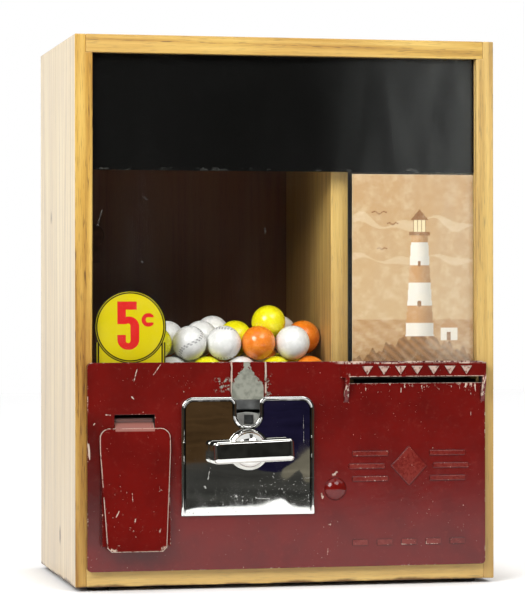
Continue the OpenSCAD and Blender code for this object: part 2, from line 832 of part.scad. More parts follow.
// rubber covers less than half a turn, so the wheel lets go of the card
module feed_tyres() {
    far = 2 * tyre_r;
    color("DimGray") for (s = [-1, 1])
        translate([card_x + s * feed_dx - feed_w / 2, front_y + cross_e, cross_z])
            rotate([90, 0, 90])
                linear_extrude(feed_w)
                    difference() {
                        circle(tyre_r, $fn = 96);
                        circle(hub_r, $fn = 96);
                        polygon([[0, 0], [far * cos(-100), far * sin(-100)], [far, -far], [far, far],
                            [far * cos(60), far * sin(60)]]);
                    }
}

// pieces that move on their own
module ratchet_pawl() {
    color("Gray") difference() {
        xz(ratchet_e0, ratchet_e1)
            union() {
                translate([pawl_x, pawl_z])
                    circle(4.5);
                polygon([[pawl_x, pawl_z - 2.5], [pawl_x, pawl_z + 4.5],
                    [ax_x + 6, ax_z + 23], [ax_x + 5, ax_z + 18.8]]);
            }
        cy(pawl_x, pawl_z, 2 + run, ratchet_e0 - 1, ratchet_e1 + 1);
    }
}
module gum_flap() {
    top_e = -cast_t - 0.5;
    h = (flap_z1 - flap_z0) / cos(flap_tilt);
    w1 = flap_w / 2;
    w0 = flap_low_w / 2;
    r = 7;
    tab_dx = top_e - flap_t / 2 - flap_hinge_e;
    tab_dz = flap_z1 - 1.9 - flap_hinge_z;
    tab_l = sqrt(tab_dx * tab_dx + tab_dz * tab_dz);
    color("FireBrick") difference() {
        union() {
            translate([flap_x, front_y + top_e, flap_z1])
                rotate([-flap_tilt, 0, 0])
                    rotate([90, 0, 0])
                        linear_extrude(flap_t)
                            union() {
                                polygon([[-w1, -r], [w1, -r], [w1, -2.2 * r], [w0, -h + 3], [w0 - 3, -h],
                                    [-w0 + 3, -h], [-w0, -h + 3], [-w1, -2.2 * r]]);
                                translate([-w1 + r, -2 * r])
                                    square([2 * (w1 - r), 2 * r]);
                                for (s = [-1, 1])
                                    translate([s * (w1 - r), -r])
                                        circle(r);
                            }
            translate([flap_x - tab_w / 2, front_y + flap_hinge_e, flap_hinge_z])
                rotate([atan2(tab_dz, tab_dx), 0, 0])
                    translate([0, 0, -0.8])
                        cube([tab_w, tab_l, 1.6]);
            cx(flap_hinge_e, flap_hinge_z, 2.6, flap_x - tab_w / 2 + 0.6, flap_x + tab_w / 2 - 0.6);
        }
        cx(flap_hinge_e, flap_hinge_z, flap_pin_r + run, flap_x - tab_w, flap_x + tab_w);
    }
}
module back_door() {
    color("BurlyWood") difference() {
        bx(-door_x, door_x, door_e0, cab_d, z_in0 + door_gap, z_in1 - door_gap);
        cy(lock_x, lock_z, 9, door_e0 - 1, cab_d + 1);
        for (p = hinge_screw_sites(-1))
            cy(p[0], p[1], screw_r, cab_d - 7, cab_d + 1);
    }
}
module door_leaves() {
    color("Peru") difference() {
        for (z = hinge_zs) {
            bx(hinge_x - 18, hinge_x - hinge_cut, cab_d, cab_d + leaf_t, z, z + hinge_h);
            bx(hinge_x - hinge_cut - 1, hinge_x - 0.4, cab_d + 0.2, cab_d + leaf_t,
                z + 13.5, z + hinge_h - 13.5);
            cz(hinge_x, hinge_e, knuckle_r, z + 13.5, z + hinge_h - 13.5);
        }
        for (z = hinge_zs)
            cz(hinge_x, hinge_e, hinge_pin_r + run, z - 1, z + hinge_h + 1);
        for (p = hinge_screw_sites(-1))
            cy(p[0], p[1], screw_r, cab_d - 1, cab_d + 3);
    }
}
module door_screws() {
    color("Peru") for (p = hinge_screw_sites(-1))
        screw_at(p, cab_d - 7, cab_d + leaf_t);
}
module lock_barrel() {
    color("Silver") difference() {
        union() {
            cy(lock_x, lock_z, 9, door_e0 - 6, cab_d);
            cy(lock_x, lock_z, 11.5, cab_d, cab_d + 2);
        }
        cy(lock_x, lock_z, plug_r + run, door_e0 - 7, cab_d + 3);
    }
}
module lock_plug() {
    color("Silver") difference() {
        cy(lock_x, lock_z, plug_r, door_e0 - 9.6, cab_d + 2.4);
        bx(lock_x - 0.6, lock_x + 0.6, cab_d - 6, cab_d + 3, lock_z - 3.2, lock_z + 3.2);
    }
}
module lock_cam() {
    color("Gray") xz(door_e0 - 12, door_e0 - 9.6)
        union() {
            translate([lock_x, lock_z])
                circle(7);
            translate([lock_x - 5, lock_z - 21])
                square([10, 21]);
        }
}
module card_weight() {
    z = stack_z1 + gap;
    color("Gray") union() {
        bx(card_x - card_w / 2 + 1, card_x + card_w / 2 - 1, card_e0 + 2, card_e0 + card_l - 2, z, z + 6);
        cz(card_x, card_e0 + card_l / 2, 4, z + 6, z + 14);
        cz(card_x, card_e0 + card_l / 2, 9, z + 14, z + 20);
    }
}
module vend_card() {
    color("AntiqueWhite")
        bx(card_x - card_w / 2, card_x + card_w / 2, card_e0, card_e0 + card_l, card_z, card_z + card_t);
}

side_left();
side_right();
top_board();
bottom_board();
divider();
feet();
window_glass();
glass_mask();
glass_sill();
price_decal();
front_casting();
casting_pins();
casting_block();
front_bolt();
front_bolt_nut();
coin_plate();
plate_studs();
plate_nuts();
coin_housing();
coin_chute();
coin_tray();
pawl_pin();
rear_bracket();
hopper_floor();
drum_housing();
gum_chute();
flap_pin();
gumballs_white();
gumballs_yellow();
gumballs_orange();
card_floor();
magazine_front();
display_card();
card_stack();
shaft_bushes();
hinge_leaves();
hinge_pins();
hinge_screws();
lock_keeper();
handle();
handle_shaft();
coin_wheel();
ratchet_wheel();
gum_drum();
crown_wheel();
cross_shaft();
lantern_pinion();
feed_hubs();
feed_tyres();
ratchet_pawl();
gum_flap();
back_door();
door_leaves();
door_screws();
lock_barrel();
lock_plug();
lock_cam();
card_weight();
vend_card();
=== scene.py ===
import bpy, math
from functools import reduce
import numpy as np
from mathutils import Matrix, Vector


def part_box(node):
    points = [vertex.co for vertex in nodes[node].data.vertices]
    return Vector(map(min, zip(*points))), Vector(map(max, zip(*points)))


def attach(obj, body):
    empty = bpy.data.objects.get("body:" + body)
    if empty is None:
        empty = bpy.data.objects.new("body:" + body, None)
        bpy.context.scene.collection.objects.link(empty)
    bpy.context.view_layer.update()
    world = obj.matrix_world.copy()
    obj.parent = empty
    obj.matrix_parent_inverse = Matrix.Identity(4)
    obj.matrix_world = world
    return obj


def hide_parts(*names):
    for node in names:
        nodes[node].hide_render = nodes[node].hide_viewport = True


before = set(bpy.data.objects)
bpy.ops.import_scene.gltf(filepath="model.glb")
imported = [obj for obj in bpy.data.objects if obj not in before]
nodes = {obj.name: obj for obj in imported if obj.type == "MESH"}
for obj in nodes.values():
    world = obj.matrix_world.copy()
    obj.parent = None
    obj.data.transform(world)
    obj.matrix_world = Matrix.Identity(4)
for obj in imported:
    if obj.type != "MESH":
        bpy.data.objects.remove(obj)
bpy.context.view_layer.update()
scene = bpy.context.scene
scene.view_settings.view_transform = "Standard"

mm = 0.001
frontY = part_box("side_left")[0].y          # plane of the wood's front edges
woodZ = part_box("side_left")[0].z           # underside of the wood
origin = np.array([0, frontY, woodZ])      # where place() counts from
rng = np.random.default_rng(7)
print("frame loaded, wood front plane at", round(frontY, 4))


def place(x, e, z):
    # point from millimetres: x from the middle, e behind the wood's front, z above its underside
    return Vector((x * mm, frontY + e * mm, woodZ + z * mm))


def rgb(r, g, b):
    # colour as seen on a screen, 0 to 255, to linear light
    c = np.array([r, g, b]) / 255
    lin = np.where(c <= 0.04045, c / 12.92, ((c + 0.055) / 1.055) ** 2.4)
    return (float(lin[0]), float(lin[1]), float(lin[2]), 1.0)


# camera at the photograph's place, worked out from the box's corners
cameraSet = {"x": -427.1, "e": -1872.5, "z": 199.85, "yaw": 12.314, "pitch": 0.037, "roll": -0.063,
             "focal": 2705.1, "frameTall": 599, "sensor": 36.0}


def makeCamera(c):
    # turns by yaw, then pitch, then roll; the lens is the focal length's share of the frame times the sensor
    cam = bpy.data.cameras.new("photoCamera")
    cam.sensor_width = c["sensor"]
    cam.lens = c["focal"] / c["frameTall"] * c["sensor"]
    cam.clip_start, cam.clip_end = 0.05, 50
    ob = bpy.data.objects.new("photoCamera", cam)
    scene.collection.objects.link(ob)
    yaw, pitch, roll = (math.radians(c[k]) for k in ("yaw", "pitch", "roll"))
    look = Vector((math.sin(yaw) * math.cos(pitch), math.cos(yaw) * math.cos(pitch), math.sin(pitch)))
    side = Vector((math.cos(yaw), -math.sin(yaw), 0))
    up = side.cross(look)
    right = math.cos(roll) * side + math.sin(roll) * up
    up = -math.sin(roll) * side + math.cos(roll) * up
    turn = Matrix((right, up, -look)).transposed().to_4x4()
    ob.matrix_world = Matrix.Translation(place(c["x"], c["e"], c["z"])) @ turn
    scene.camera = ob


makeCamera(cameraSet)
print("camera placed")


# node helpers: they add to the tree of the finish begun last
patternY = -0.0706          # front plane that grain, wear and smears are set out from
begun = {}


def put(socket, value):
    # links a socket, or sets a plain value
    if isinstance(value, bpy.types.NodeSocket):
        begun["tree"].links.new(value, socket)
    else:
        socket.default_value = value


def coat(surface, **values):
    # links or sets the inputs of a surface by name, with _ for a blank
    for key, value in values.items():
        put(surface.inputs[key.replace("_", " ")], value)


def addNode(kind, inputs=None, **settings):
    # one node: its settings, then its inputs by name or number, linked or set
    n = begun["tree"].nodes.new("ShaderNode" + kind)
    for key, value in settings.items():
        setattr(n, key, value)
    for key, value in (inputs or {}).items():
        put(n.inputs[key], value)
    return n


def newFinish(name, **sockets):
    # Principled surface; values that are the same all over sit on its own sockets
    mat = bpy.data.materials.new(name)
    mat.use_nodes = True
    begun["tree"] = mat.node_tree
    surface = mat.node_tree.nodes["Principled BSDF"]
    coat(surface, **sockets)
    return mat, surface


def where(scale=(1, 1, 1), shift=(0, 0, 0), turn=(0, 0, 0)):
    # Object coordinates in metres, with the wood's front plane moved to patternY, through one Mapping node
    c = addNode("TexCoord").outputs["Object"]
    moved = addNode("VectorMath", {0: c, 1: (0, patternY - frontY, 0)}).outputs[0]
    ways = {"Vector": moved, "Location": shift, "Rotation": turn, "Scale": scale}
    return addNode("Mapping", ways).outputs["Vector"]


def noise(vec, scale=1.0, detail=3.0, rough=0.5, warp=0.0):
    # fractal noise of a position, about 0.5 on average
    form = {"Vector": vec, "Scale": scale, "Detail": detail, "Roughness": rough, "Distortion": warp}
    return addNode("TexNoise", form).outputs[0]


def ramp(fac, stops):
    # colour ramp from (place, colour) pairs in rising order
    n = addNode("ValToRGB", {"Fac": fac})
    els = n.color_ramp.elements
    els[0].position, els[1].position = stops[0][0], stops[-1][0]
    for pos, col in stops[1:-1]:
        els.new(pos)
    for el, (pos, col) in zip(els, stops):
        el.color = col
    return n.outputs["Color"]


def step(value, lo, hi, a=0.0, b=1.0):
    # smooth step of a value between lo and hi, given as a to b
    ends = {"Value": value, "From Min": lo, "From Max": hi, "To Min": a, "To Max": b}
    return addNode("MapRange", ends, interpolation_type="SMOOTHSTEP").outputs[0]


def mix(fac, a, b, blend="MIX"):
    # colour a going over to b as fac goes from 0 to 1
    return addNode("Mix", {0: fac, 6: a, 7: b}, data_type="RGBA", blend_type=blend).outputs[2]


def calc(op, a, b=0.0, c=0.0):
    # one step of arithmetic
    return addNode("Math", {0: a, 1: b, 2: c}, operation=op).outputs[0]


def less(a, b):
    # a minus b
    return calc("SUBTRACT", a, b)


def madd(a, b, c):
    # a times b, plus c
    return calc("MULTIPLY_ADD", a, b, c)


def times(*values):
    # product of all the values
    return reduce(lambda a, b: calc("MULTIPLY", a, b), values)


def most(*values):
    # largest of the values
    return reduce(lambda a, b: calc("MAXIMUM", a, b), values)


def bump(surface, height, strength=0.3, depth=0.0004, softEdge=0.0):
    # relief from a height; a soft edge in mm also rounds the shading over corners of the solid
    n = addNode("Bump", {"Height": height, "Strength": strength, "Distance": depth})
    if softEdge:
        put(n.inputs["Normal"], addNode("Bevel", {"Radius": softEdge * mm}, samples=6).outputs[0])
    coat(surface, Normal=n.outputs["Normal"])


def corners(reach, inside=False):
    # rises in inward corners of the piece, or on outward ones by rays inside it; reach in mm
    n = addNode("AmbientOcclusion", {"Distance": reach * mm}, inside=inside, only_local=True, samples=6)
    return less(1.0, n.outputs["AO"])


def axes(vec):
    # x, e and z in millimetres, in the frame of place(), from where()
    n = addNode("SeparateXYZ", {"Vector": vec}).outputs
    return (times(n[0], 1000.0), madd(n[1], 1000.0, -patternY * 1000), madd(n[2], 1000.0, -woodZ * 1000))


def near(value, middle, half, soft):
    # 1 within half of the middle, falling to 0 over soft more
    return step(calc("ABSOLUTE", less(value, middle)), half + soft, half)


# oak boards: contour lines of a stretched noise make the figure, finer ones the grain and pores
oakSet = {"pale": rgb(224, 188, 100), "mid": rgb(198, 154, 66), "deep": rgb(152, 106, 38),
          "pore": rgb(88, 54, 18), "knot": rgb(86, 50, 20), "stainAndShade": rgb(70, 29, 15),
          "lowShadeTone": rgb(150, 112, 56), "glare": rgb(252, 242, 216), "litPale": rgb(246, 226, 158),
          "rings": 11.0, "stretch": 0.035}


def oakFinish(name, along, seed, knots=(), c=oakSet, stainAndShade=None, lowShade=0.3, glare=None, paleShare=0.0):
    # rings and pores drawn out along the grain, then knots, a paler share and glare as painted light, painted
    # shade towards the bottom, and dark stain with painted shade inside, laid over them
    mat, surface = newFinish(name, Coat_Weight=0.15, Coat_Roughness=0.2)
    scale = [1.0, 1.0, 1.0]
    scale["xyz".index(along)] = c["stretch"]
    vec = where(scale=scale, shift=(seed * 0.37, seed * 0.61, seed * 0.23))
    broad = noise(vec, 26.0, 2.0, 0.45, 0.4)
    rings = calc("PINGPONG", times(broad, c["rings"]), 0.5)
    grain = noise(vec, 420.0, 4.0, 0.6)
    fine = noise(where(scale=[1 if s == 1 else 0.05 for s in scale]), 1500.0, 2.0, 0.5)
    body = madd(grain, 0.55, madd(rings, 0.55, 0.05))
    colour = ramp(body, [(0.22, c["deep"]), (0.42, c["mid"]), (0.72, c["pale"])])
    pores = times(step(fine, 0.55, 0.68), step(rings, 0.30, 0.05, 0.35, 0.9))
    colour = mix(pores, colour, c["pore"])
    cloud = noise(where(shift=(seed, 0, 0)), 9.0, 2.0)
    colour = mix(step(cloud, 0.35, 0.7, 0.0, 0.35), colour, c["mid"], "MULTIPLY")
    x, e, z = axes(where())
    # painted light: paler in the figure on boards that look lit
    colour = mix(step(body, 0.1, 0.8, paleShare * 0.6, paleShare), colour, c["litPale"])
    # painted shade: darker and browner towards the bottom of the board
    colour = mix(step(z, 300.0, 20.0, 0.0, lowShade), colour, c["lowShadeTone"], "MULTIPLY")
    if glare:
        # painted glare: a pale outside face, from the first x to the second
        pale = times(step(x, glare[0], glare[1], 0.0, glare[2]), step(body, 0.2, 0.75, 0.7, 1.0),
                     step(z, 30.0, 260.0, 0.8, 1.0))
        colour = mix(pale, colour, c["glare"])
    for kx, ke, kz, r in knots:
        off = addNode("CombineXYZ", {0: less(x, kx), 1: less(e, ke), 2: times(less(z, kz), 0.6)})
        far = addNode("VectorMath", {0: off.outputs[0]}, operation="LENGTH").outputs["Value"]
        far = madd(noise(where(), 160.0), r * 0.8, far)
        colour = mix(step(far, r * 1.6, r * 0.7, 0.0, 0.85), colour, c["knot"])
    low = madd(noise(where(), 30.0, 4.0), -9.0, z)
    colour = mix(step(low, -2.6, -4.6, 0.0, 0.9), colour, c["pore"])
    if stainAndShade:
        # dark brown inside, stain and painted shade: none at the first depth, full at the second
        colour = mix(step(e, stainAndShade[0], stainAndShade[1], 0.0, stainAndShade[2]), colour, c["stainAndShade"])
    coat(surface, Base_Color=colour, Roughness=step(grain, 0.2, 0.8, 0.34, 0.5))
    bump(surface, less(grain, pores), 0.22, 0.0003)
    return mat


# red enamel: uneven tone, pale chips on the rubbed edges, painted shade in the corners, places worn to bare
# metal
enamelSet = {"red": rgb(103, 14, 10), "deep": rgb(90, 12, 9), "dust": rgb(130, 50, 40), "darkening": rgb(34, 8, 7),
             "chip": rgb(206, 182, 164), "metal": rgb(150, 151, 138), "metalDark": rgb(122, 124, 112),
             "black": rgb(5, 4, 4), "coinX": -30.4, "slotX": (43.5, 141.0), "slotZ": (141.6, 146.0),
             "hoodE": -10.0, "faceE": -5.0, "flapX": -111.0, "chipAmount": 0.69,
             "scratches": ((-109.4, 152.0, -111.6, 144.0, 0.4), (-92.6, 155.5, -97.6, 148.5, 0.36),
                           (-111.8, 131.6, -113.2, 133.2, 0.6), (-128.4, 120.4, -131.4, 120.6, 0.6),
                           (-140.0, 113.8, -139.2, 114.6, 0.55), (32.0, 76.4, 34.4, 78.0, 1.0),
                           (23.4, 63.0, 24.2, 60.0, 0.8), (28.6, 41.0, 29.8, 41.2, 0.7),
                           (28.0, 24.0, 27.6, 20.0, 0.3)),
             "flapChips": ((-129.0, 27.4, -126.0, 26.2, 1.1), (-93.6, 27.2, -91.6, 28.4, 1.2),
                           (-125.4, 50.0, -123.4, 54.0, 0.6), (-112.4, 46.0, -112.0, 48.0, 0.7),
                           (-95.0, 39.0, -94.4, 40.6, 0.6), (-114.0, 66.0, -113.6, 60.0, 0.3))}


def scratchMarks(marks, vec, x, z):
    # bare marks along short lines: start and end in x and z, and half width, all in mm, with ragged sides
    ragged = noise(vec, 850.0, 4.0, 0.7)
    found = []
    for x0, z0, x1, z1, half in marks:
        long = math.hypot(x1 - x0, z1 - z0)
        ux, uz = (x1 - x0) / long, (z1 - z0) / long
        dx, dz = less(x, x0), less(z, z0)
        along = madd(dx, ux, times(dz, uz))
        off = madd(dx, -uz, times(dz, ux))
        fromMiddle = calc("ABSOLUTE", less(along, long / 2))
        past = less(fromMiddle, long / 2)
        far = addNode("CombineXYZ", {0: most(past, 0.0), 1: off})
        size = addNode("VectorMath", {0: far.outputs[0]}, operation="LENGTH").outputs["Value"]
        found.append(step(madd(ragged, 4.4 * half, size), 3.1 * half, 2.2 * half))
    return times(most(*found), step(noise(vec, 300.0, 2.0), 0.34, 0.44, 0.3, 1.0))


def coinPath(c, vec, x, z):
    # bare metal between the guides: a ragged patch, narrow at the top, with scuffs outside it
    px = c["coinX"]
    ragged = madd(noise(vec, 260.0, 6.0, 0.7), 14.0, -7.0)
    off = calc("ABSOLUTE", calc("ADD", less(x, px - 0.5), ragged))
    room = less(step(z, 136.0, 156.0, 13.5, 2.6), off)
    path = times(step(room, 0.0, 0.3), near(x, px, 11.6, 0.2), step(z, 130.2, 130.6))
    xr = calc("ADD", x, ragged)
    scuff = most(times(near(xr, px - 18.0, 4.0, 2.0), near(z, 141.0, 3.0, 3.0)),
                 times(near(xr, px + 15.0, 1.2, 1.0), near(z, 140.0, 5.0, 5.0)))
    return most(path, times(scuff, step(noise(vec, 420.0, 4.0, 0.6), 0.5, 0.58)))


def slotWearAndHighlight(c, vec, x, e, z):
    # paint gone in streaks: under the slot, at its ends, along the hood's top and on the raised shapes; pale
    # lines along the slot's lips, chipped paint and painted highlight
    left, right = c["slotX"]
    low, high = c["slotZ"]
    streak = noise(where(scale=(1, 1, 0.3)), 420.0, 4.0, 0.65)
    along = near(x, (left + right) / 2, (right - left) / 2 + 1.0, 0.5)
    below = less(low, z)
    lip = times(along, step(below, -0.6, 0.0), step(madd(below, -0.012, streak), 0.565, 0.6))
    # pale lines along both lips of the slot: chipped paint and painted highlight
    lips = most(near(z, low - 0.2, 0.3, 0.2), near(z, high + 0.2, 0.25, 0.2))
    rim = times(along, lips, step(streak, 0.4, 0.52), 0.75)
    ends = times(most(near(x, left - 2.0, 1.4, 0.6), near(x, right + 1.6, 1.6, 0.6)),
                 near(z, 138.0, 8.5, 3.0), step(streak, 0.54, 0.6))
    crown = times(step(x, 32.0, 40.0), step(z, 154.8, 155.8), step(streak, 0.42, 0.5),
                  step(noise(vec, 38.0, 2.0), 0.46, 0.56, 0.1, 1.0))
    offAxis = calc("ABSOLUTE", less(x, c["coinX"] + 0.8))
    guides = times(near(offAxis, 12.3, 0.5, 0.2), step(z, 134.0, 136.0), step(streak, 0.4, 0.5), 0.8)
    raised = times(step(e, c["hoodE"] - 0.5, c["hoodE"] - 0.7), step(x, 40.0, 41.0),
                   step(noise(vec, 330.0, 4.0, 0.65), 0.36, 0.5, 0.15, 0.72))
    return most(lip, rim, times(ends, 0.85), crown, raised, guides)


def enamelFinish(name, c=enamelSet, worn=0.5, gloss=(0.1, 0.12), softEdge=0.6, detailed=True):
    # worn is where the rubbed edges start to lose paint, gloss the least roughness and its spread
    mat, surface = newFinish(name)
    vec = where()
    x, e, z = axes(vec)
    cloud = noise(vec, 28.0, 3.0, 0.6)
    small = noise(vec, 260.0, 4.0, 0.6)
    colour = ramp(cloud, [(0.32, c["deep"]), (0.6, c["red"])])
    colour = mix(step(small, 0.56, 0.8, 0.0, 0.3), colour, c["dust"])
    amount = c["chipAmount"]
    chips = times(step(noise(vec, 700.0, 3.0, 0.6), amount, amount + 0.03),
                  step(noise(vec, 75.0, 2.0), 0.5, 0.6))
    line = noise(where(scale=(1, 1, 0.1), turn=(0, -0.4, 0)), 460.0, 1.0)
    chips = most(chips, times(step(line, 0.785, 0.80), 0.8))
    wear = madd(noise(vec, 55.0, 2.0), 0.4, times(noise(vec, 420.0, 4.0, 0.65), 0.6))
    edge = step(corners(0.8, True), 0.1, 0.35)
    chips = most(chips, times(edge, step(wear, worn, worn + 0.05)))
    # painted shade: darker in the piece's own inward corners, from ambient occlusion
    darkening = times(step(corners(2.5), 0.15, 0.6), 0.8)
    colour = mix(darkening, colour, c["darkening"])
    rough = madd(small, gloss[1], gloss[0])
    if detailed:
        front = step(e, -3.0, -4.0)
        # darker towards the casting's left edge, about the flap's height
        leftDarker = times(step(x, -126.0, -142.0), near(z, 75.0, 30.0, 25.0))
        colour = mix(times(leftDarker, 0.5), colour, c["darkening"])
        low = times(step(x, 40.0, 42.0), step(e, c["faceE"] - 0.5, c["faceE"] - 0.7),
                    step(e, c["faceE"] - 1.6, c["faceE"] - 1.2))
        colour = mix(times(low, step(wear, 0.4, 0.55, 0.1, 0.6)), colour, c["dust"])
        chips = most(chips, times(slotWearAndHighlight(c, vec, x, e, z), front),
                     times(scratchMarks(c["scratches"], vec, x, z), front, 0.9))
        bare = times(coinPath(c, vec, x, z), front)
        grey = mix(step(noise(vec, 300.0, 4.0), 0.4, 0.7), c["metal"], c["metalDark"])
        inSlot = times(near(x, sum(c["slotX"]) / 2, 49.5, 0.3), near(z, 143.8, 2.4, 0.1))
        inFlap = times(near(x, c["flapX"], 14.8, 0.3), near(z, 114.3, 6.5, 0.1))
        # painted shade: black deep inside the coin slot and the flap's opening
        dark = most(times(inSlot, step(e, c["hoodE"] + 0.5, c["hoodE"] + 1.5)),
                    times(inFlap, step(e, -4.6, -4.0)))
    colour = mix(chips, colour, c["chip"])
    rough = madd(chips, 0.4, rough)
    if detailed:
        colour = mix(dark, mix(bare, colour, grey), c["black"])
        coat(surface, Metallic=times(bare, 0.3))
        rough = most(rough, times(bare, 0.45), dark)
    elif worn < 0.5:
        # the flap's tab: dusty outside, with painted light from above on it, and painted shade where it
        # enters the casting
        tab = times(near(x, c["flapX"], 13.9, 0.1), step(z, 108.6, 109.4))
        colour = mix(times(tab, 0.55), colour, rgb(178, 128, 116))
        colour = mix(step(e, -3.0, -0.4), colour, c["black"])
        colour = mix(times(scratchMarks(c["flapChips"], vec, x, z), 0.9), colour, c["chip"])
    coat(surface, Base_Color=colour, Roughness=rough)
    bump(surface, less(small, times(chips, 0.7)), 0.1, 0.0004, softEdge)
    return mat


# metals: tone and gloss follow one noise, drawn out along an axis where a stretch is given
metalSet = {
    "chrome": {"light": rgb(230, 230, 226), "dark": rgb(212, 212, 208), "gloss": (0.015, 0.05), "scale": 60.0,
               "pit": rgb(236, 235, 228), "grooveShade": rgb(18, 16, 14),
               "marks": ((-57.7, 82.9, -59.2, 74.8, 0.5), (-61.8, 69.8, -60.8, 68.9, 0.8),
                         (-39.4, 63.0, -38.4, 62.2, 0.8), (-12.6, 76.2, -12.3, 75.2, 0.3),
                         (8.3, 74.4, 16.6, 74.9, 0.14), (-24.0, 60.8, -15.0, 60.2, 0.3),
                         (9.6, 119.0, 9.9, 100.0, 0.22), (-6.2, 67.4, -5.2, 66.8, 0.6))},
    "nickel": {"light": rgb(150, 146, 136), "dark": rgb(112, 108, 98), "scale": 160.0, "gloss": (0.26, 0.4)},
    "steel": {"light": rgb(168, 166, 160), "dark": rgb(112, 108, 102), "gloss": (0.25, 0.5), "scale": 90.0},
    "zinc": {"light": rgb(150, 152, 150), "dark": rgb(104, 106, 106), "gloss": (0.35, 0.6), "scale": 70.0},
    "brass": {"light": rgb(206, 166, 92), "dark": rgb(136, 98, 46), "gloss": (0.22, 0.48), "scale": 80.0},
    "bronze": {"light": rgb(168, 122, 72), "dark": rgb(104, 70, 40), "gloss": (0.3, 0.5), "scale": 80.0},
    "darkSteel": {"light": rgb(60, 58, 56), "dark": rgb(30, 29, 28), "gloss": (0.4, 0.6), "scale": 80.0},
    "drumMetal": {"light": rgb(186, 186, 180), "dark": rgb(140, 140, 136), "gloss": (0.3, 0.5),
                  "scale": 50.0}}


def metalFinish(name, stretch=(1, 1, 1)):
    # dull metal: clouds between a dark and a light tone, with fine hairlines as relief
    c = metalSet[name]
    mat, surface = newFinish(name + "Finish", Metallic=1.0)
    vec = where(scale=stretch)
    cloud = noise(vec, c["scale"], 4.0, 0.6)
    hair = noise(vec, c["scale"] * 14, 3.0, 0.6)
    coat(surface, Base_Color=ramp(cloud, [(0.3, c["dark"]), (0.62, c["light"])]),
         Roughness=step(cloud, 0.3, 0.75, *c["gloss"]))
    bump(surface, hair, 0.05, 0.0002)
    return mat, surface


def layOver(surface, mask, colour):
    # lays a colour over a surface's own where the mask is 1
    base = surface.inputs["Base Color"]
    put(base, mix(mask, base.links[0].from_socket, colour))


def housingFinish(name, gapX=-30.4, gapZ=122.2):
    # zinc, with painted shade in the gap over the coin wheel and behind its pocket
    mat, surface = metalFinish("zinc")
    mat.name = name
    x, _, z = axes(where())
    gapShade = times(near(x, gapX, 11.4, 0.3), near(z, gapZ, 0.9, 0.7))
    pocketShade = times(near(x, gapX + 1.0, 3.0, 1.6), near(z, gapZ - 6.0, 2.8, 1.8), 0.62)
    layOver(surface, most(gapShade, pocketShade), rgb(6, 6, 6))
    return mat


def chromeFinish(name, stainAndShade=None, plate=False, kind="chrome"):
    # polished plating, faintly clouded; plate adds pits and painted shade in the groove, stainAndShade adds
    # rust and painted shade between two depths
    c = metalSet[kind]
    mat, surface = newFinish(name, Metallic=1.0)
    vec = where()
    cloud = noise(vec, c["scale"], 4.0, 0.6)
    colour = ramp(cloud, [(0.3, c["dark"]), (0.62, c["light"])])
    pits = 0.0
    if plate:
        x, e, z = axes(vec)
        pits = times(step(noise(vec, 700.0, 3.0, 0.6), 0.655, 0.71), step(noise(vec, 48.0, 3.0), 0.5, 0.62),
                     step(z, 100.0, 76.0, 0.12, 0.8))
        pits = most(pits, times(scratchMarks(c["marks"], vec, x, z), 0.55))
        colour = mix(pits, colour, c["pit"])
        # painted shade in the plate's groove, carried by its groove layer
        layer = addNode("Attribute", attribute_name="groove").outputs["Fac"]
        uneven = step(noise(vec, 150.0, 3.0), 0.3, 0.6, 0.75, 1.0)
        colour = mix(times(layer, uneven), colour, c["grooveShade"])
    coat(surface, Base_Color=colour, Roughness=madd(pits, 0.5, step(cloud, 0.4, 0.75, *c["gloss"])))
    wave = noise(vec, 34.0, 1.0)
    bump(surface, madd(pits, -0.3, madd(wave, 3.0, times(cloud, 0.1))), 0.05, 0.0003)
    if stainAndShade:
        x, e, z = axes(vec)
        inside = step(e, stainAndShade[0], stainAndShade[1])
        coat(surface, Base_Color=mix(inside, colour, rgb(60, 32, 20)), Metallic=less(1.0, inside),
             Roughness=step(inside, 0.0, 1.0, c["gloss"][1], 0.7))
    return mat


def plainFinish(name, a, b, scale, rough, grainDepth=0.0002, **sockets):
    # two tones mixed by a noise, with roughness and bump from the same noise
    mat, surface = newFinish(name, **sockets)
    vec = where()
    cloud = noise(vec, scale, 4.0, 0.6)
    coat(surface, Base_Color=ramp(cloud, [(0.34, a), (0.66, b)]), Roughness=step(cloud, 0.25, 0.75, *rough))
    bump(surface, noise(vec, scale * 9, 3.0), 0.25, grainDepth)
    return mat


glassSet = {"tone": rgb(232, 236, 232), "reflectionVeil": 0.062, "veilX": (10.0, 150.0), "veilEnd": (138.6, 135.0),
            "marks": ((-103.6, 274.0, -100.4, 271.6, 0.24), (-15.4, 252.0, -15.0, 248.6, 0.2),
                      (-132.4, 264.0, -136.0, 251.4, 0.14), (-104.4, 227.8, -103.0, 227.4, 0.26))}


def glassFinish(name, c=glassSet):
    # nearly clear: a faint haze with a painted reflection that grows to the right, with wiped smears and dust
    mat, surface = newFinish(name, Base_Color=c["tone"], Roughness=0.08, IOR=1.5)
    x, _, z = axes(where())
    smear = noise(where(scale=(1, 1, 0.3), turn=(0, 0.6, 0)), 30.0, 3.0, 0.6, 0.6)
    dust = step(noise(where(), 900.0, 2.0), 0.74, 0.80)
    # painted reflection: a veil that grows from left to right and fades out at the pane's right edge
    reflectionVeil = times(step(x, *c["veilX"], 0.0, c["reflectionVeil"]), step(x, *c["veilEnd"]))
    hazeAndReflection = madd(reflectionVeil, step(smear, 0.3, 0.7, 0.55, 1.15), step(smear, 0.45, 0.85, 0.0, 0.004))
    hazeAndReflection = madd(scratchMarks(c["marks"], where(), x, z), 0.2, hazeAndReflection)
    coat(surface, Alpha=madd(dust, 0.012, hazeAndReflection))
    return mat


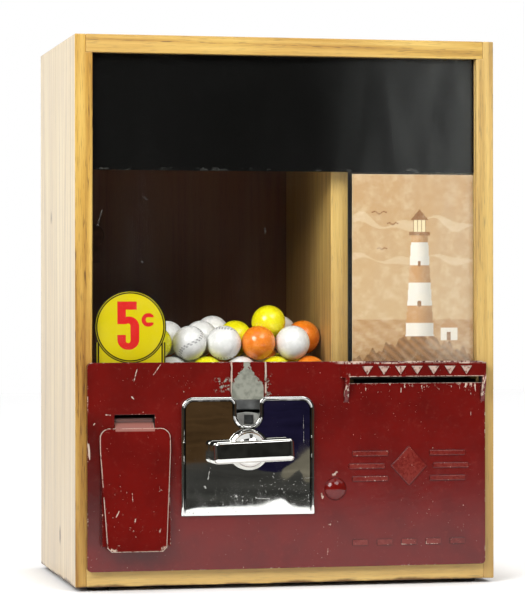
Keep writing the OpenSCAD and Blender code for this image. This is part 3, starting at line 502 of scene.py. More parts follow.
def maskFinish(name, low=292.3):
    # black paint on the glass, lifted in flecks along its lower edge
    mat = plainFinish(name, rgb(9, 9, 8), rgb(12, 12, 11), 9.0, (0.2, 0.24), 0.00001)
    x, _, z = axes(where())
    fleck = times(step(z, low + 3.4, low + 0.6), step(x, 40.0, 120.0, 0.25, 1.0),
                  step(noise(where(scale=(0.35, 1, 1)), 420.0, 4.0, 0.6), 0.56, 0.62))
    layOver(mat.node_tree.nodes["Principled BSDF"], times(fleck, 0.75), rgb(120, 120, 114))
    return mat


def wheelFinish(name, x0=-32.6, x1=-26.2, z0=113.1, z1=119.6):
    # coin wheel: dull metal, with painted shade in its pocket
    mat, surface = metalFinish("drumMetal")
    mat.name = name
    x, _, z = axes(where())
    pocketShade = times(near(x, (x0 + x1) / 2, (x1 - x0) / 2 + 0.1, 0.3),
                   near(z, (z0 + z1) / 2, (z1 - z0) / 2 + 0.1, 0.3))
    layOver(surface, times(pocketShade, 0.6), rgb(10, 11, 10))
    return mat


finishes = {
    "oakLeft": oakFinish("oakLeft", "z", 1.0, ((-152.4, 75.0, 31.0, 4.5), (-152.4, 120.0, 262.0, 3.0)),
                         lowShade=0.45, glare=(-152.1, -152.35, 0.66)),
    "oakRight": oakFinish("oakRight", "z", 2.3, lowShade=0.38, paleShare=0.34),
    "oakTop": oakFinish("oakTop", "x", 3.1, paleShare=0.12),
    "oakBottom": oakFinish("oakBottom", "x", 4.6, lowShade=0.1, paleShare=0.32),
    # the back door's inner face: dark stain and painted shade
    "oakDoor": oakFinish("oakDoor", "z", 5.2, stainAndShade=(169.0, 168.4, 0.94)),
    # the divider's inner face: painted shade deepening towards the back
    "oakDivider": oakFinish("oakDivider", "z", 6.4, c=dict(oakSet, stainAndShade=rgb(98, 66, 30)),
                            stainAndShade=(24.0, 110.0, 0.75), paleShare=0.26),
    "oakBlock": oakFinish("oakBlock", "x", 7.7),
    "enamel": enamelFinish("enamel", worn=0.56),
    "enamelFlap": enamelFinish("enamelFlap", worn=0.42, detailed=False),
    "enamelBolt": enamelFinish("enamelBolt", worn=0.7, gloss=(0.04, 0.04), softEdge=1.5, detailed=False),
    "chrome": chromeFinish("chromeFinish"), "plateChrome": chromeFinish("plateChrome", plate=True),
    # inside the cabinet the lock goes dull rust-brown: rust and painted shade
    "lockChrome": chromeFinish("lockChrome", (174.0, 170.0), kind="nickel"),
    "steel": metalFinish("steel", (1, 0.1, 1))[0],
    **{kind: metalFinish(kind)[0] for kind in ("zinc", "brass", "bronze", "drumMetal", "darkSteel")},
    "housing": housingFinish("housing"),
    "rubber": plainFinish("rubber", rgb(22, 21, 20), rgb(42, 40, 38), 120.0, (0.6, 0.85)),
    "rusted": plainFinish("rustedSteel", rgb(72, 38, 23), rgb(54, 28, 17), 240.0, (0.62, 0.8)),
    "maskPaint": maskFinish("maskPaint"), "wheel": wheelFinish("wheelFinish"),
    "hopperPaint": plainFinish("hopperPaint", rgb(62, 30, 20), rgb(88, 46, 30), 60.0, (0.35, 0.6)),
    "paper": plainFinish("paper", rgb(226, 216, 196), rgb(240, 232, 214), 200.0, (0.6, 0.8)),
    "glass": glassFinish("glass")}
print("finishes made:", len(finishes))

# which finish each CAD piece takes, and the width of its broken edge where it has one, in mm
cadLooks = {
    "oakLeft": ("side_left",), "oakRight": ("side_right",), "oakTop": ("top_board",),
    "oakBottom": ("bottom_board",), "oakDivider": ("divider",), "oakBlock": ("casting_block",),
    "oakDoor": ("back_door",), "rubber": ("feet", "feed_tyres"), "glass": ("window_glass",),
    "maskPaint": ("glass_mask",),
    "steel": ("glass_sill", "casting_pins", "plate_studs", "plate_nuts", "front_bolt_nut", "pawl_pin",
              "flap_pin", "handle_shaft", "cross_shaft", "hinge_pins", "card_weight"),
    "darkSteel": ("card_floor", "magazine_front"), "rusted": ("lock_keeper", "lock_cam"),
    "housing": ("coin_housing",),
    "zinc": ("coin_chute", "coin_tray", "rear_bracket", "drum_housing", "gum_chute", "feed_hubs"),
    "brass": ("hinge_leaves", "hinge_screws", "door_leaves", "door_screws", "ratchet_wheel", "crown_wheel",
              "lantern_pinion", "ratchet_pawl"),
    "bronze": ("shaft_bushes",), "drumMetal": ("gum_drum",), "wheel": ("coin_wheel",),
    "hopperPaint": ("hopper_floor",),
    "chrome": ("coin_plate", "handle"), "lockChrome": ("lock_barrel", "lock_plug"),
    "enamel": ("front_casting",), "enamelFlap": ("gum_flap",), "enamelBolt": ("front_bolt",),
    "paper": ("card_stack", "vend_card")}
brokenEdges = {"side_left": 0.7, "side_right": 0.7, "top_board": 0.5, "bottom_board": 0.5, "divider": 0.6,
               "back_door": 0.6, "coin_wheel": 0.2, "lock_barrel": 0.4}


def dressNode(name, finish):
    # CAD mesh stays as it is; welded and bevelled by modifiers where its edges are broken
    ob = nodes[name]
    ob.data.materials.clear()
    ob.data.materials.append(finishes[finish])
    if name in brokenEdges:
        weld = ob.modifiers.new("weld", "WELD")
        weld.merge_threshold = 1e-6
        flat = ob.modifiers.new("flatFaces", "DECIMATE")
        flat.decimate_type = "DISSOLVE"
        flat.angle_limit = math.radians(0.5)
        edge = ob.modifiers.new("brokenEdge", "BEVEL")
        edge.width = brokenEdges[name] * mm
        edge.segments = 2
        edge.limit_method = "ANGLE"
        edge.angle_limit = math.radians(40)
        edge.use_clamp_overlap = False


for finish, names in cadLooks.items():
    for name in names:
        dressNode(name, finish)
print("CAD pieces dressed:", sum(len(n) for n in cadLooks.values()))


# mesh helpers
def gridFaces(rows, cols, closeCols=False):
    # quads of a rows by cols grid of points, the last column joined to the first where closed
    r, c = np.meshgrid(np.arange(rows - 1), np.arange(cols if closeCols else cols - 1), indexing="ij")
    d = (c + 1) % cols
    return np.stack([r * cols + c, r * cols + d, (r + 1) * cols + d, (r + 1) * cols + c], -1).reshape(-1, 4)


def fan(tip, start, count, flip=False):
    # triangles from a tip to each pair of neighbours in a closed ring of points
    ring = [(start + k, start + (k + 1) % count) for k in range(count)]
    return [(tip, b, a) if flip else (tip, a, b) for a, b in ring]


def newPiece(name, points, faces, body, slotName, finish, smooth=True, **layers):
    # mesh object at the origin, with its place in its mesh; layers are point attributes
    mesh = bpy.data.meshes.new(name)
    mesh.from_pydata(np.asarray(points, float).reshape(-1, 3), [], [tuple(int(i) for i in f) for f in faces])
    mesh.polygons.foreach_set("use_smooth", np.full(len(mesh.polygons), smooth))
    for key, values in layers.items():
        kind, width = ("FLOAT_COLOR", "color") if values.shape[-1] == 4 else ("FLOAT_VECTOR", "vector")
        mesh.attributes.new(key, kind, "POINT").data.foreach_set(width, values.astype(np.float32).ravel())
    mesh.update()
    ob = bpy.data.objects.new(name, mesh)
    scene.collection.objects.link(ob)
    mesh.materials.append(finish)
    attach(ob, body)
    return ob


# gumballs: a lattice of spheres that leans with the hopper floor, each turned its own way
ballSet = {"radius": 12.5, "pitch": 25.3, "firstX": 23.7, "lowE": 33.0, "lowZ": 148.0, "rows": 24, "cols": 48,
           "layers": ((0, 0, (3, 2, 1, 2, 1, 2)), (0, 1, (1, 3, 1, 1, 2)), (1, 0, (2, 1, 3, 1, 2, 1)),
                      (1, 1, (3, 0, 2, 1, 1, 2)), (2, 0, (1, 3, 2, 1, 3, 2)), (2, 1, (1, 0, 1, 0, 0))),
           "topBall": (-1.4, 17.3, 14.6), "squash": 0.012, "deepZ": 3.5, "plainShare": 0.4}
ballColours = {1: "White", 2: "Yellow", 3: "Orange"}


def ballPlaces(b):
    # x steps back by a pitch per ball and half a pitch on odd rows and sheets; e and z follow the lattice
    found = {k: [] for k in ballColours}
    layerZ, deepZ = b["pitch"] * math.sqrt(3) / 2, b["deepZ"]
    deepE = math.sqrt(layerZ ** 2 - deepZ ** 2)
    for sheet, row, colours in b["layers"]:
        odd, far = row % 2, sheet % 2
        for i, colour in enumerate(colours):
            x = b["firstX"] - b["pitch"] * (i + 0.5 * odd + 0.5 * far - (odd and far))
            if colour:
                found[colour].append((x, b["lowE"] + deepE * sheet, b["lowZ"] + layerZ * row + deepZ * sheet))
    tx, te, tz = b["topBall"]
    found[2].append((b["firstX"] - b["pitch"] + tx, b["lowE"] + te, b["lowZ"] + layerZ + tz))
    return found


def ballSurface(b):
    # unit sphere as rings of latitude and longitude, with one point at each pole
    lat = np.linspace(0, math.pi, b["rows"] + 1)[1:-1, None]
    lon = np.linspace(0, 2 * math.pi, b["cols"], endpoint=False)[None, :]
    ring = np.stack([np.sin(lat) * np.cos(lon), np.sin(lat) * np.sin(lon), np.cos(lat) + 0 * lon], -1)
    points = np.vstack([ring.reshape(-1, 3), [[0, 0, 1], [0, 0, -1]]])
    rows, cols = ring.shape[:2]
    quads = gridFaces(rows, cols, True)[:, ::-1]
    caps = fan(rows * cols, 0, cols) + fan(rows * cols + 1, (rows - 1) * cols, cols, True)
    return points, list(quads) + caps


def candyFinish(name, light, deep, stitched):
    # hard candy shell: two tones, a faint mottle, and stitch dashes along a curved seam where asked
    mat, surface = newFinish(name, Roughness=0.22, Coat_Weight=0.4, Coat_Roughness=0.1)
    turn = addNode("Attribute", attribute_name="ballWay").outputs["Vector"]
    vec = where()
    mottle = noise(vec, 180.0, 3.0, 0.6)
    colour = ramp(mottle, [(0.36, deep), (0.6, light)])
    if stitched:
        dx, dy, dz = addNode("SeparateXYZ", {"Vector": turn}).outputs
        saddle = less(times(dx, dx), times(dy, dy))
        off = less(dz, times(saddle, 0.62))
        angle = calc("ARCTAN2", dy, dx)
        lines = most(near(off, 0.09, 0.045, 0.02), near(off, -0.09, 0.045, 0.02))
        tick = calc("PINGPONG", times(angle, 5.2), 0.5)
        seam = most(times(lines, step(tick, 0.2, 0.3)), near(off, 0.0, 0.008, 0.01))
        colour = mix(times(seam, 0.65), colour, rgb(84, 82, 86))
    coat(surface, Base_Color=colour, Roughness=step(mottle, 0.3, 0.7, 0.16, 0.36))
    bump(surface, noise(vec, 90.0, 2.0), 0.15, 0.0006)
    return mat


def makeBalls(b):
    # unit sphere times the radius, turned at random and moved to its place in the heap
    unit, faces = ballSurface(b)
    looks = {1: candyFinish("candyWhite", rgb(240, 240, 236), rgb(228, 229, 224), True),
             2: candyFinish("candyYellow", rgb(238, 232, 22), rgb(230, 220, 16), False),
             3: candyFinish("candyOrange", rgb(242, 138, 34), rgb(232, 120, 28), False)}
    for colour, places in ballPlaces(b).items():
        points, ways, allFaces = [], [], []
        for k, (x, e, z) in enumerate(places):
            a, c, d = rng.uniform(0, 2 * math.pi, 3)
            turn = np.array(Matrix.Rotation(a, 3, "X") @ Matrix.Rotation(c, 3, "Y")
                            @ Matrix.Rotation(d, 3, "Z"))
            flat = 1 - b["squash"] * np.abs(unit[:, 2:3])
            points.append((unit * flat) @ turn.T * b["radius"] * mm + np.array(place(x, e, z)))
            plain = rng.uniform() < b["plainShare"]
            ways.append(unit * 0 + [0, 0, 1] if plain else unit)
            allFaces += [[i + k * len(unit) for i in f] for f in faces]
        word = ballColours[colour]
        ob = newPiece("gumballs" + word, np.vstack(points), allFaces, "cabinet", "gum_" + word.lower(),
                      looks[colour], ballWay=np.vstack(ways))
        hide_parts("gumballs_" + word.lower())


makeBalls(ballSet)
print("gumballs made")


# pictures printed on flat pieces: a grid whose point colours come from formulas
def paintFinish(name, rough, paleShare):
    # print colours from the piece's own layer, faded in clouds; dull, as it lies behind glass
    mat, surface = newFinish(name, Specular_IOR_Level=0.12)
    ink = addNode("Attribute", attribute_name="ink").outputs["Color"]
    cloud = noise(where(), 120.0, 4.0, 0.6)
    colour = mix(step(cloud, 0.4, 0.75, 0.0, paleShare), ink, rgb(236, 222, 190))
    coat(surface, Base_Color=colour, Roughness=step(cloud, 0.3, 0.7, rough, rough + 0.2))
    bump(surface, noise(where(), 1400.0, 2.0), 0.1, 0.0002)
    return mat


def boxMask(u, v, u0, u1, v0, v1, r=0.0):
    # 1 inside a rectangle with corners rounded by r
    du = np.abs(u - (u0 + u1) / 2) - (u1 - u0) / 2 + r
    dv = np.abs(v - (v0 + v1) / 2) - (v1 - v0) / 2 + r
    far = np.hypot(np.maximum(du, 0), np.maximum(dv, 0)) + np.minimum(np.maximum(du, dv), 0) - r
    return far <= 0


def colourOf(*triple):
    # a print's colour, from screen values to linear light
    return np.array(rgb(*triple))


cardSet = {"x": 94.2, "wide": 90.0, "e": 7.6, "thick": 0.6, "z": 151.8, "tall": 139.2, "cell": 0.5,
           "paper": (204, 177, 137), "sky": (190, 154, 107), "skyLow": (196, 166, 122), "sea": (177, 137, 90),
           "rock": (160, 115, 68), "tower": (232, 226, 212), "band": (194, 147, 94), "iron": (141, 96, 53),
           "lamp": (226, 211, 167)}


def cardInk(c, u, v):
    # u from the left edge, v from the lower edge, in mm: sky, sea, rocks, banded tower, lantern and birds
    ink = {k: colourOf(*tone) for k, tone in c.items() if isinstance(tone, tuple)}
    out = np.ones(u.shape + (4,)) * ink["paper"]

    def lay(mask, colour):
        out[mask] = colour if np.ndim(colour) == 1 else colour[mask]

    inside = boxMask(u, v, 0.4, c["wide"] - 0.4, 0.4, c["tall"] - 0.4)
    t = np.clip((v - 34) / 90, 0, 1)[..., None]
    lay(inside, ink["skyLow"] * (1 - t) + ink["sky"] * t)
    cloud = np.sin(u * 0.11 + 1.2) * 3 + np.sin(u * 0.23) * 2
    lay(inside & (np.abs(v - 104 - cloud) < 2.2 + 1.6 * np.sin(u * 0.19)), ink["paper"])
    lay(inside & (np.abs(v - 78 - cloud * 0.6) < 1.6 + 1.3 * np.sin(u * 0.16 + 2)), ink["paper"])
    wave = np.sin(u * 0.5 + np.floor(v / 2.4) * 1.7) * 0.25 + 0.75
    lay(inside & (v < 35), ink["sea"] * wave[..., None] + ink["skyLow"] * (1 - wave[..., None]))
    shore = 26 - np.abs(u - 50) * 0.42 + 2.2 * np.sin(u * 0.55) + 1.2 * np.sin(u * 1.3 + 1)
    shade = (0.82 + 0.18 * np.sin(u * 0.8 + v * 0.9))[..., None]
    lay(inside & (v < shore), ink["rock"] * shade)
    half = 10.5 - (v - 24) * 0.062
    tower = (np.abs(u - 50) < half) & (v > 23) & (v < 96)
    side = np.clip(1.0 - 0.34 * np.clip((u - 48) / half, 0, 1), 0, 1)[..., None]
    lay(tower, ink["tower"] * side)
    lay(tower & (np.abs((v - 24) % 29 - 14.5) < 6.2), ink["band"] * side)
    lay(tower & boxMask(u, v, 48.4, 51.2, 44, 48.5, 1.2), ink["iron"])
    lay(tower & boxMask(u, v, 48.6, 51.0, 73, 77, 1.1), ink["iron"])
    lay(boxMask(u, v, 42.2, 57.8, 95.4, 97.8), ink["iron"])
    lay(boxMask(u, v, 45.4, 54.6, 97.8, 107.0), ink["lamp"])
    pane = np.abs((u - 45.4) % 3.06 - 1.53) < 1.25
    lay((np.abs(u - 50) < 4.8) & ~pane & (v > 97.8) & (v < 107), ink["iron"])
    lay((np.abs(u - 50) < 6.2 - (v - 107) * 0.85) & (v > 106.6) & (v < 114), ink["iron"])
    lay(boxMask(u, v, 66, 78, 20, 29), ink["tower"] * 0.94)
    lay((np.abs(u - 72) < 7.6 - (v - 29) * 1.15) & (v > 28.8) & (v < 36), ink["band"] * 0.85)
    lay(boxMask(u, v, 70.4, 73.4, 20, 26), ink["iron"])
    for bu, bv, size in ((20, 112, 6.0), (30, 104, 4.5), (22, 86, 3.6)):
        arc = bv - np.abs(np.abs(u - bu) - size / 2) * 0.5 + 0.18 * np.abs(u - bu)
        lay((np.abs(u - bu) < size) & (np.abs(v - arc) < 0.45), ink["iron"])
    return out


def sheetSurface(x, z, e, wide, tall, thick, cols, rows):
    # flat sheet from its lower left corner: a grid of points in front, sides and back folded round its edge
    v, u = np.meshgrid(np.linspace(0, tall, rows), np.linspace(0, wide, cols), indexing="ij")
    front = np.stack([x + u, np.full(u.shape, e), z + v], -1).reshape(-1, 3)
    n = rows * cols
    back = front[[0, cols - 1, n - 1, n - cols]] + [0, thick, 0]
    rim = [list(range(0, cols)), list(range(cols - 1, n, cols)), list(range(n - 1, n - cols - 1, -1)),
           list(range(n - cols, -1, -cols))]
    faces = list(gridFaces(rows, cols))
    faces += [tuple(edge[::-1] + [n + k, n + (k + 1) % 4]) for k, edge in enumerate(rim)]
    faces.append((n + 3, n + 2, n + 1, n))
    return u, v, np.vstack([front, back]), faces


def makeCard(c):
    # flat sheet whose vertices carry the print
    wide, tall, cell = c["wide"], c["tall"], c["cell"]
    u, v, points, faces = sheetSurface(c["x"] - wide / 2, c["z"], c["e"], wide, tall, c["thick"],
                                       int(wide / cell) + 1, int(tall / cell) + 1)
    ink = np.vstack([cardInk(c, u, v).reshape(-1, 4), np.tile(colourOf(*c["paper"]), (4, 1))])
    ob = newPiece("pictureCard", points * mm + origin, faces, "cabinet", "picture_card",
                  paintFinish("cardPrint", 0.4, 0.25), smooth=False, ink=ink)
    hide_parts("display_card")


makeCard(cardSet)
print("picture card made")

decalSet = {"x": -112.0, "z": 181.9, "radius": 25.6, "e": 7.0, "thick": 0.25, "rings": 126, "turns": 288,
            "footWide": 50.0, "footLow": 152.0, "footTop": 171.0,
            "yellow": (198, 182, 5), "black": (9, 8, 6), "red": (198, 32, 28), "olive": (158, 146, 14)}


def decalInk(c, u, v, foot):
    # u, v from the disc's middle in mm: disc with dark rings, a plain figure and a small open ring beside it
    out = np.ones(u.shape + (4,)) * colourOf(*c["yellow"])
    red, black, olive = (colourOf(*c[k]) for k in ("red", "black", "olive"))
    if foot:
        side = np.abs(u)
        out[side > 22.2] = black
        out[(side > 23.0) & (side < 24.2)] = olive
        return out
    hook = boxMask(u, v, -9.3, 6.4, -16.1, 7.3, 7.4) & ~boxMask(u, v, -3.2, 0.0, -11.4, 2.4, 1.5)
    hook &= ~boxMask(u, v, -12, -1.6, -5.6, 1.9)
    stem = boxMask(u, v, -9.3, -3.2, 1.9, 17.9) | boxMask(u, v, -9.3, 4.6, 12.1, 17.9)
    far = np.hypot(u - 12.8, v - 4.9)
    small = (far < 4.8) & (far > 1.9) & (u < 16.6) & ~((u > 13.4) & (np.abs(v - 4.9) < 1.8))
    out[hook | stem | small] = red
    r = np.hypot(u, v)
    out[r > 23.5] = black
    out[(r > 24.3) & (r < 24.8)] = olive
    return out


def makeDecal(c):
    # disc as rings and turns about its middle; the foot is a sheet a hair behind its face
    turns, rings = c["turns"], c["rings"]
    r = np.linspace(0, c["radius"], rings + 1)[1:, None]
    a = np.linspace(0, 2 * math.pi, turns, endpoint=False)[None, :]
    u, v = np.append(r * np.cos(a), 0.0), np.append(r * np.sin(a), 0.0)
    disc = np.stack([c["x"] + u, np.full(u.shape, c["e"] + 0.05), c["z"] + v], -1)
    quads = gridFaces(rings, turns, True)[:, ::-1]
    outer, middle = (rings - 1) * turns, rings * turns
    faces = list(quads) + fan(middle, 0, turns)
    back = disc[outer:middle] + [0, c["thick"] - 0.05, 0]
    n, k = len(disc), np.arange(turns)
    after = (k + 1) % turns
    faces += list(np.stack([outer + k, n + k, n + after, outer + after], -1))
    faces.append(n + k[::-1])
    inkDisc = np.vstack([decalInk(c, u, v, False), np.tile(colourOf(*c["black"]), (turns, 1))])
    wide, low, behind = c["footWide"], c["footLow"], 0.12
    fu, fv, foot, footFaces = sheetSurface(c["x"] - wide / 2, low, c["e"] + behind, wide,
                                           c["footTop"] - low, c["thick"] - behind, 201, 40)
    inkFoot = np.vstack([decalInk(c, fu.ravel() - wide / 2, fv.ravel() + low - c["z"], True),
                         np.tile(colourOf(*c["black"]), (4, 1))])
    base = n + turns
    faces += [[i + base for i in f] for f in footFaces]
    points = np.vstack([disc, back, foot]) * mm + origin
    ob = newPiece("priceDisc", points, faces, "cabinet", "decal", paintFinish("decalPrint", 0.3, 0.02),
                  smooth=False, ink=np.vstack([inkDisc, inkFoot]))
    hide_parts("price_decal")


makeDecal(decalSet)
print("price disc made")

# handle: a bar lofted through rounded rectangles, and a turned hub behind it
handleSet = {"x": -30.4, "z": 95.6, "tilt": 2.0, "back": -8.3, "front": -25.5, "barX": 1.1, "barZ": -0.9,
             "wideBack": 58.6, "wideFront": 57.7, "tallBack": 15.8, "tallFront": 15.5, "flange": 1.3,
             "dome": 14.6, "domeTall": 12.2, "edge": 3.6, "topEdge": 1.8, "crown": 0.5, "lean": 0.35}


def roundedLoop(w, h, r, n=9, m=15):
    # closed outline of a w by h rectangle with corner radius r, m points along its top and as many below
    arcs = []
    for k, (sx, sz) in enumerate(((1, 1), (-1, 1), (-1, -1), (1, -1))):
        a = math.pi / 2 * np.linspace(k, k + 1, n)
        arcs.append(np.stack([sx * (w / 2 - r) + r * np.cos(a), sz * (h / 2 - r) + r * np.sin(a)], -1))
    run = np.linspace(w / 2 - r, r - w / 2, m + 2)[1:-1]
    top = np.stack([run, np.full(m, h / 2)], -1)
    return np.vstack([arcs[0], top, arcs[1], arcs[2], -top, arcs[3]])


def loftSurface(stations, crown, lean):
    # stations give depth, width, height, corner radius, rise and the share of the face's crown and lean
    loops = []
    for e, w, h, r, up, form in stations:
        flat = roundedLoop(w, h, r) + [0, up]
        bulge = form * (crown * (2 * flat[:, 0] / w) ** 2 + lean * 2 * flat[:, 1] / h)
        loops.append(np.stack([flat[:, 0], e + bulge, flat[:, 1]], -1))
    loops = np.stack(loops)
    rows, cols = loops.shape[:2]
    faces = list(gridFaces(rows, cols, True)) + [range(cols)[::-1]]
    i, last = np.arange(cols // 2 - 1), (rows - 1) * cols
    faces += list(last + np.stack([i, i + 1, cols - 2 - i, cols - 1 - i], -1))
    return loops.reshape(-1, 3), faces


def turnedSurface(profile, turns=72):
    # profile of depth and radius turned about the handle's axis, closed by one point at each end
    p = np.array(profile, float)
    a = np.linspace(0, 2 * math.pi, turns, endpoint=False)
    e, r = p[1:-1, :1], p[1:-1, 1:2]
    ring = np.stack([r * np.cos(a), np.repeat(e, turns, 1), r * np.sin(a)], -1)
    points = np.vstack([ring.reshape(-1, 3), [[0, p[0, 0], 0], [0, p[-1, 0], 0]]])
    rows = len(p) - 2
    caps = fan(rows * turns, 0, turns, True) + fan(rows * turns + 1, (rows - 1) * turns, turns)
    return points, list(gridFaces(rows, turns, True)) + caps


def makeHandle(h):
    # bar lofted through its stations, hub turned about the axle, both tilted
    back, front, wide, thin = h["back"], h["front"], h["edge"], h["topEdge"]
    wb, wf, tb, tf = (h[k] for k in ("wideBack", "wideFront", "tallBack", "tallFront"))
    bar = [(back - 0.1, wb - 1.6, tb - 1.4, 2.6, 0, 0), (back - 0.4, wb - 0.5, tb - 0.4, 3.0, 0, 0),
           (back - 1.0, wb, tb, 3.2, 0, 0), (back - 1.5, wb, tb, 3.2, 0, 0),
           (front + wide + 1.0, wf, tf, 2.8, 0, 0.6), (front + wide + 0.3, wf, tf, 2.8, 0, 0.8)]
    for a in np.linspace(0, math.pi / 2, 8):
        c = 1 - math.cos(a)
        bar.append((front + wide * (1 - math.sin(a)), wf - 2 * wide * c, tf - (wide + thin) * c,
                    1.0 + 1.8 * math.cos(a), (wide - thin) / 2 * c, 1))
    for inner in (0.15, 0.6):
        bar.append((front, wf - 2 * wide - inner, tf - wide - thin - inner, 0.9, (wide - thin) / 2, 1))
    arc = np.linspace(0, math.pi / 2, 17)
    hub = [(back, 0.0), (back, h["dome"] - 0.2), (back - 0.2, h["dome"]), (back - h["flange"], h["dome"])]
    hub += [(back - h["flange"] - h["domeTall"] * math.sin(t), h["dome"] * math.cos(t)) for t in arc[1:-1]]
    hub.append((back - h["flange"] - h["domeTall"], 0.0))
    tilt = math.radians(h["tilt"])
    turn = np.array([[math.cos(tilt), 0, -math.sin(tilt)], [0, 1, 0], [math.sin(tilt), 0, math.cos(tilt)]])
    middle = np.array(place(h["x"], 0, h["z"]))
    lofted, turned = loftSurface(bar, h["crown"], h["lean"]), turnedSurface(hub)
    for name, (points, faces), move in (("handleBar", lofted, (h["barX"], 0, h["barZ"])),
                                        ("handleHub", turned, (0, 0, 0))):
        ob = newPiece(name, (points + move) @ turn.T * mm + middle, faces, "handle", "chrome",
                      finishes["chrome"])
        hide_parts("handle")


makeHandle(handleSet)
print("handle made")

# coin plate: an outline with a notch, drawn in step by step for a raised rim and the groove inside it
plateSet = {"x": -30.4, "low": 49.3, "high": 132.6, "wide": 95.8, "front": -8.0, "back": -5.0, "corner": 9.0,
            "foot": 0.6, "notch": 8.1, "notchZ": 120.1, "lip": 5.5, "axleZ": 95.6, "hole": 6.4,
            "bead": 0.9, "sunk": 0.8, "grooveWide": 1.7,
            "rise": (1.6, 2.4, 3.4, 5.0, 6.0, 7.5, 40.0)}


def plateLoop(p, d, n=13):
    # seven arcs and short straights, counter-clockwise from the middle of the lower edge, all drawn in by d
    w, foot, corner, lip, notch = p["wide"] / 2, p["foot"], p["corner"], p["lip"], p["notch"]
    low, high, turn = p["low"] + 0.2 * d, p["high"], math.pi / 2
    cx = np.array([w - d - foot, w - corner, notch + lip, 0, -notch - lip, corner - w, d + foot - w])
    cz = np.array([low + foot, high - corner, high - lip, p["notchZ"], high - lip, high - corner, low + foot])
    r = np.array([foot, corner - d, lip - d, notch + d, lip - d, corner - d, foot])
    start = np.array([-turn, 0, turn, 0, 0, turn, 2 * turn])
    sweep = np.array([turn, turn, turn, -2 * turn, turn, turn, turn])
    a = start[:, None] + sweep[:, None] * np.linspace(0, 1, n)
    arcs = np.stack([cx[:, None] + r[:, None] * np.cos(a), cz[:, None] + r[:, None] * np.sin(a)], -1)
    up = np.array([(w - d, p["low"] + rise) for rise in p["rise"]])
    return np.vstack([[[0, low]], arcs[0], up, arcs[1:6].reshape(-1, 2), up[::-1] * [-1, 1], arcs[6]])


def makePlate(p, turns=32, n=13):
    # loops over the rim's bead, into the groove, on to the face; face and back are halves round the hole
    f, b, bead, sunk = p["front"], p["back"], p["bead"], p["sunk"]
    arc = np.linspace(0, math.pi / 2, 7)
    wide = p["grooveWide"]
    # rim loops: depth, inset, and the share of painted shade for the groove
    rim = [(b, 0.6, 0), (b, 0.0, 0), (f + bead, 0.0, 0)]
    rim += [(f + bead * (1 - math.sin(t)), bead * (1 - math.cos(t)), 0) for t in arc[1:]]
    start = bead + 0.3
    rim += [(f + sunk * (1 - math.cos(t * 2)) / 2, start + wide * t / math.pi * 2, math.sin(t)) for t in arc]
    rim += [(f + sunk, start + wide + d, shade) for d, shade in ((0.2, 0.8), (0.7, 0.0), (0.9, 0.0))]
    loops = np.stack([np.insert(plateLoop(p, d, n), 1, e, axis=1) for e, d, g in rim])
    groove = np.array([g for e, d, g in rim])[:, None] * np.ones(loops.shape[1])
    flat = np.clip((loops[..., 2] - p["low"] - 1.2) / 3.0, 0, 1)      # the rim dies out at the lower edge
    rows, cols = loops.shape[:2]
    loops[..., 1] = np.maximum(loops[..., 1], f + sunk * (1 - flat))
    groove *= flat
    a = math.pi / 2 - np.linspace(0, 2 * math.pi, turns, endpoint=False)
    hole = p["hole"]
    bore = np.stack([np.stack([r * np.cos(a), np.full(turns, e), p["axleZ"] + r * np.sin(a)], -1)
                     for e, r in ((f + sunk, hole + 0.6), (f + sunk, hole), (b, hole), (b, hole + 0.6))])
    points = np.vstack([loops.reshape(-1, 3), bore.reshape(-1, 3)])
    base = rows * cols
    faces = list(gridFaces(rows, cols, True)) + list(base + gridFaces(4, turns, True)[:, ::-1])
    dip = 1 + len(p["rise"]) + 3 * n + n // 2                 # the notch's lowest point
    ring, half = np.arange(cols), turns // 2
    for edge, first, way in (((rows - 1) * cols, base, 1), (0, base + 3 * turns, -1)):
        right = np.concatenate([edge + ring[:dip + 1], first + np.arange(half + 1)])
        left = np.concatenate([edge + ring[dip:], [edge], first + np.arange(half, turns), [first]])
        faces += [right[::way], left[::way]]
    points = (points + [p["x"], 0, 0]) * mm + origin
    shade = np.concatenate([groove.ravel(), np.zeros(4 * turns)])[:, None] * np.ones(3)
    ob = newPiece("coinPlate", points, faces, "cabinet", "chrome", finishes["plateChrome"], groove=shade)
    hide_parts("coin_plate")


makePlate(plateSet)
print("coin plate made")

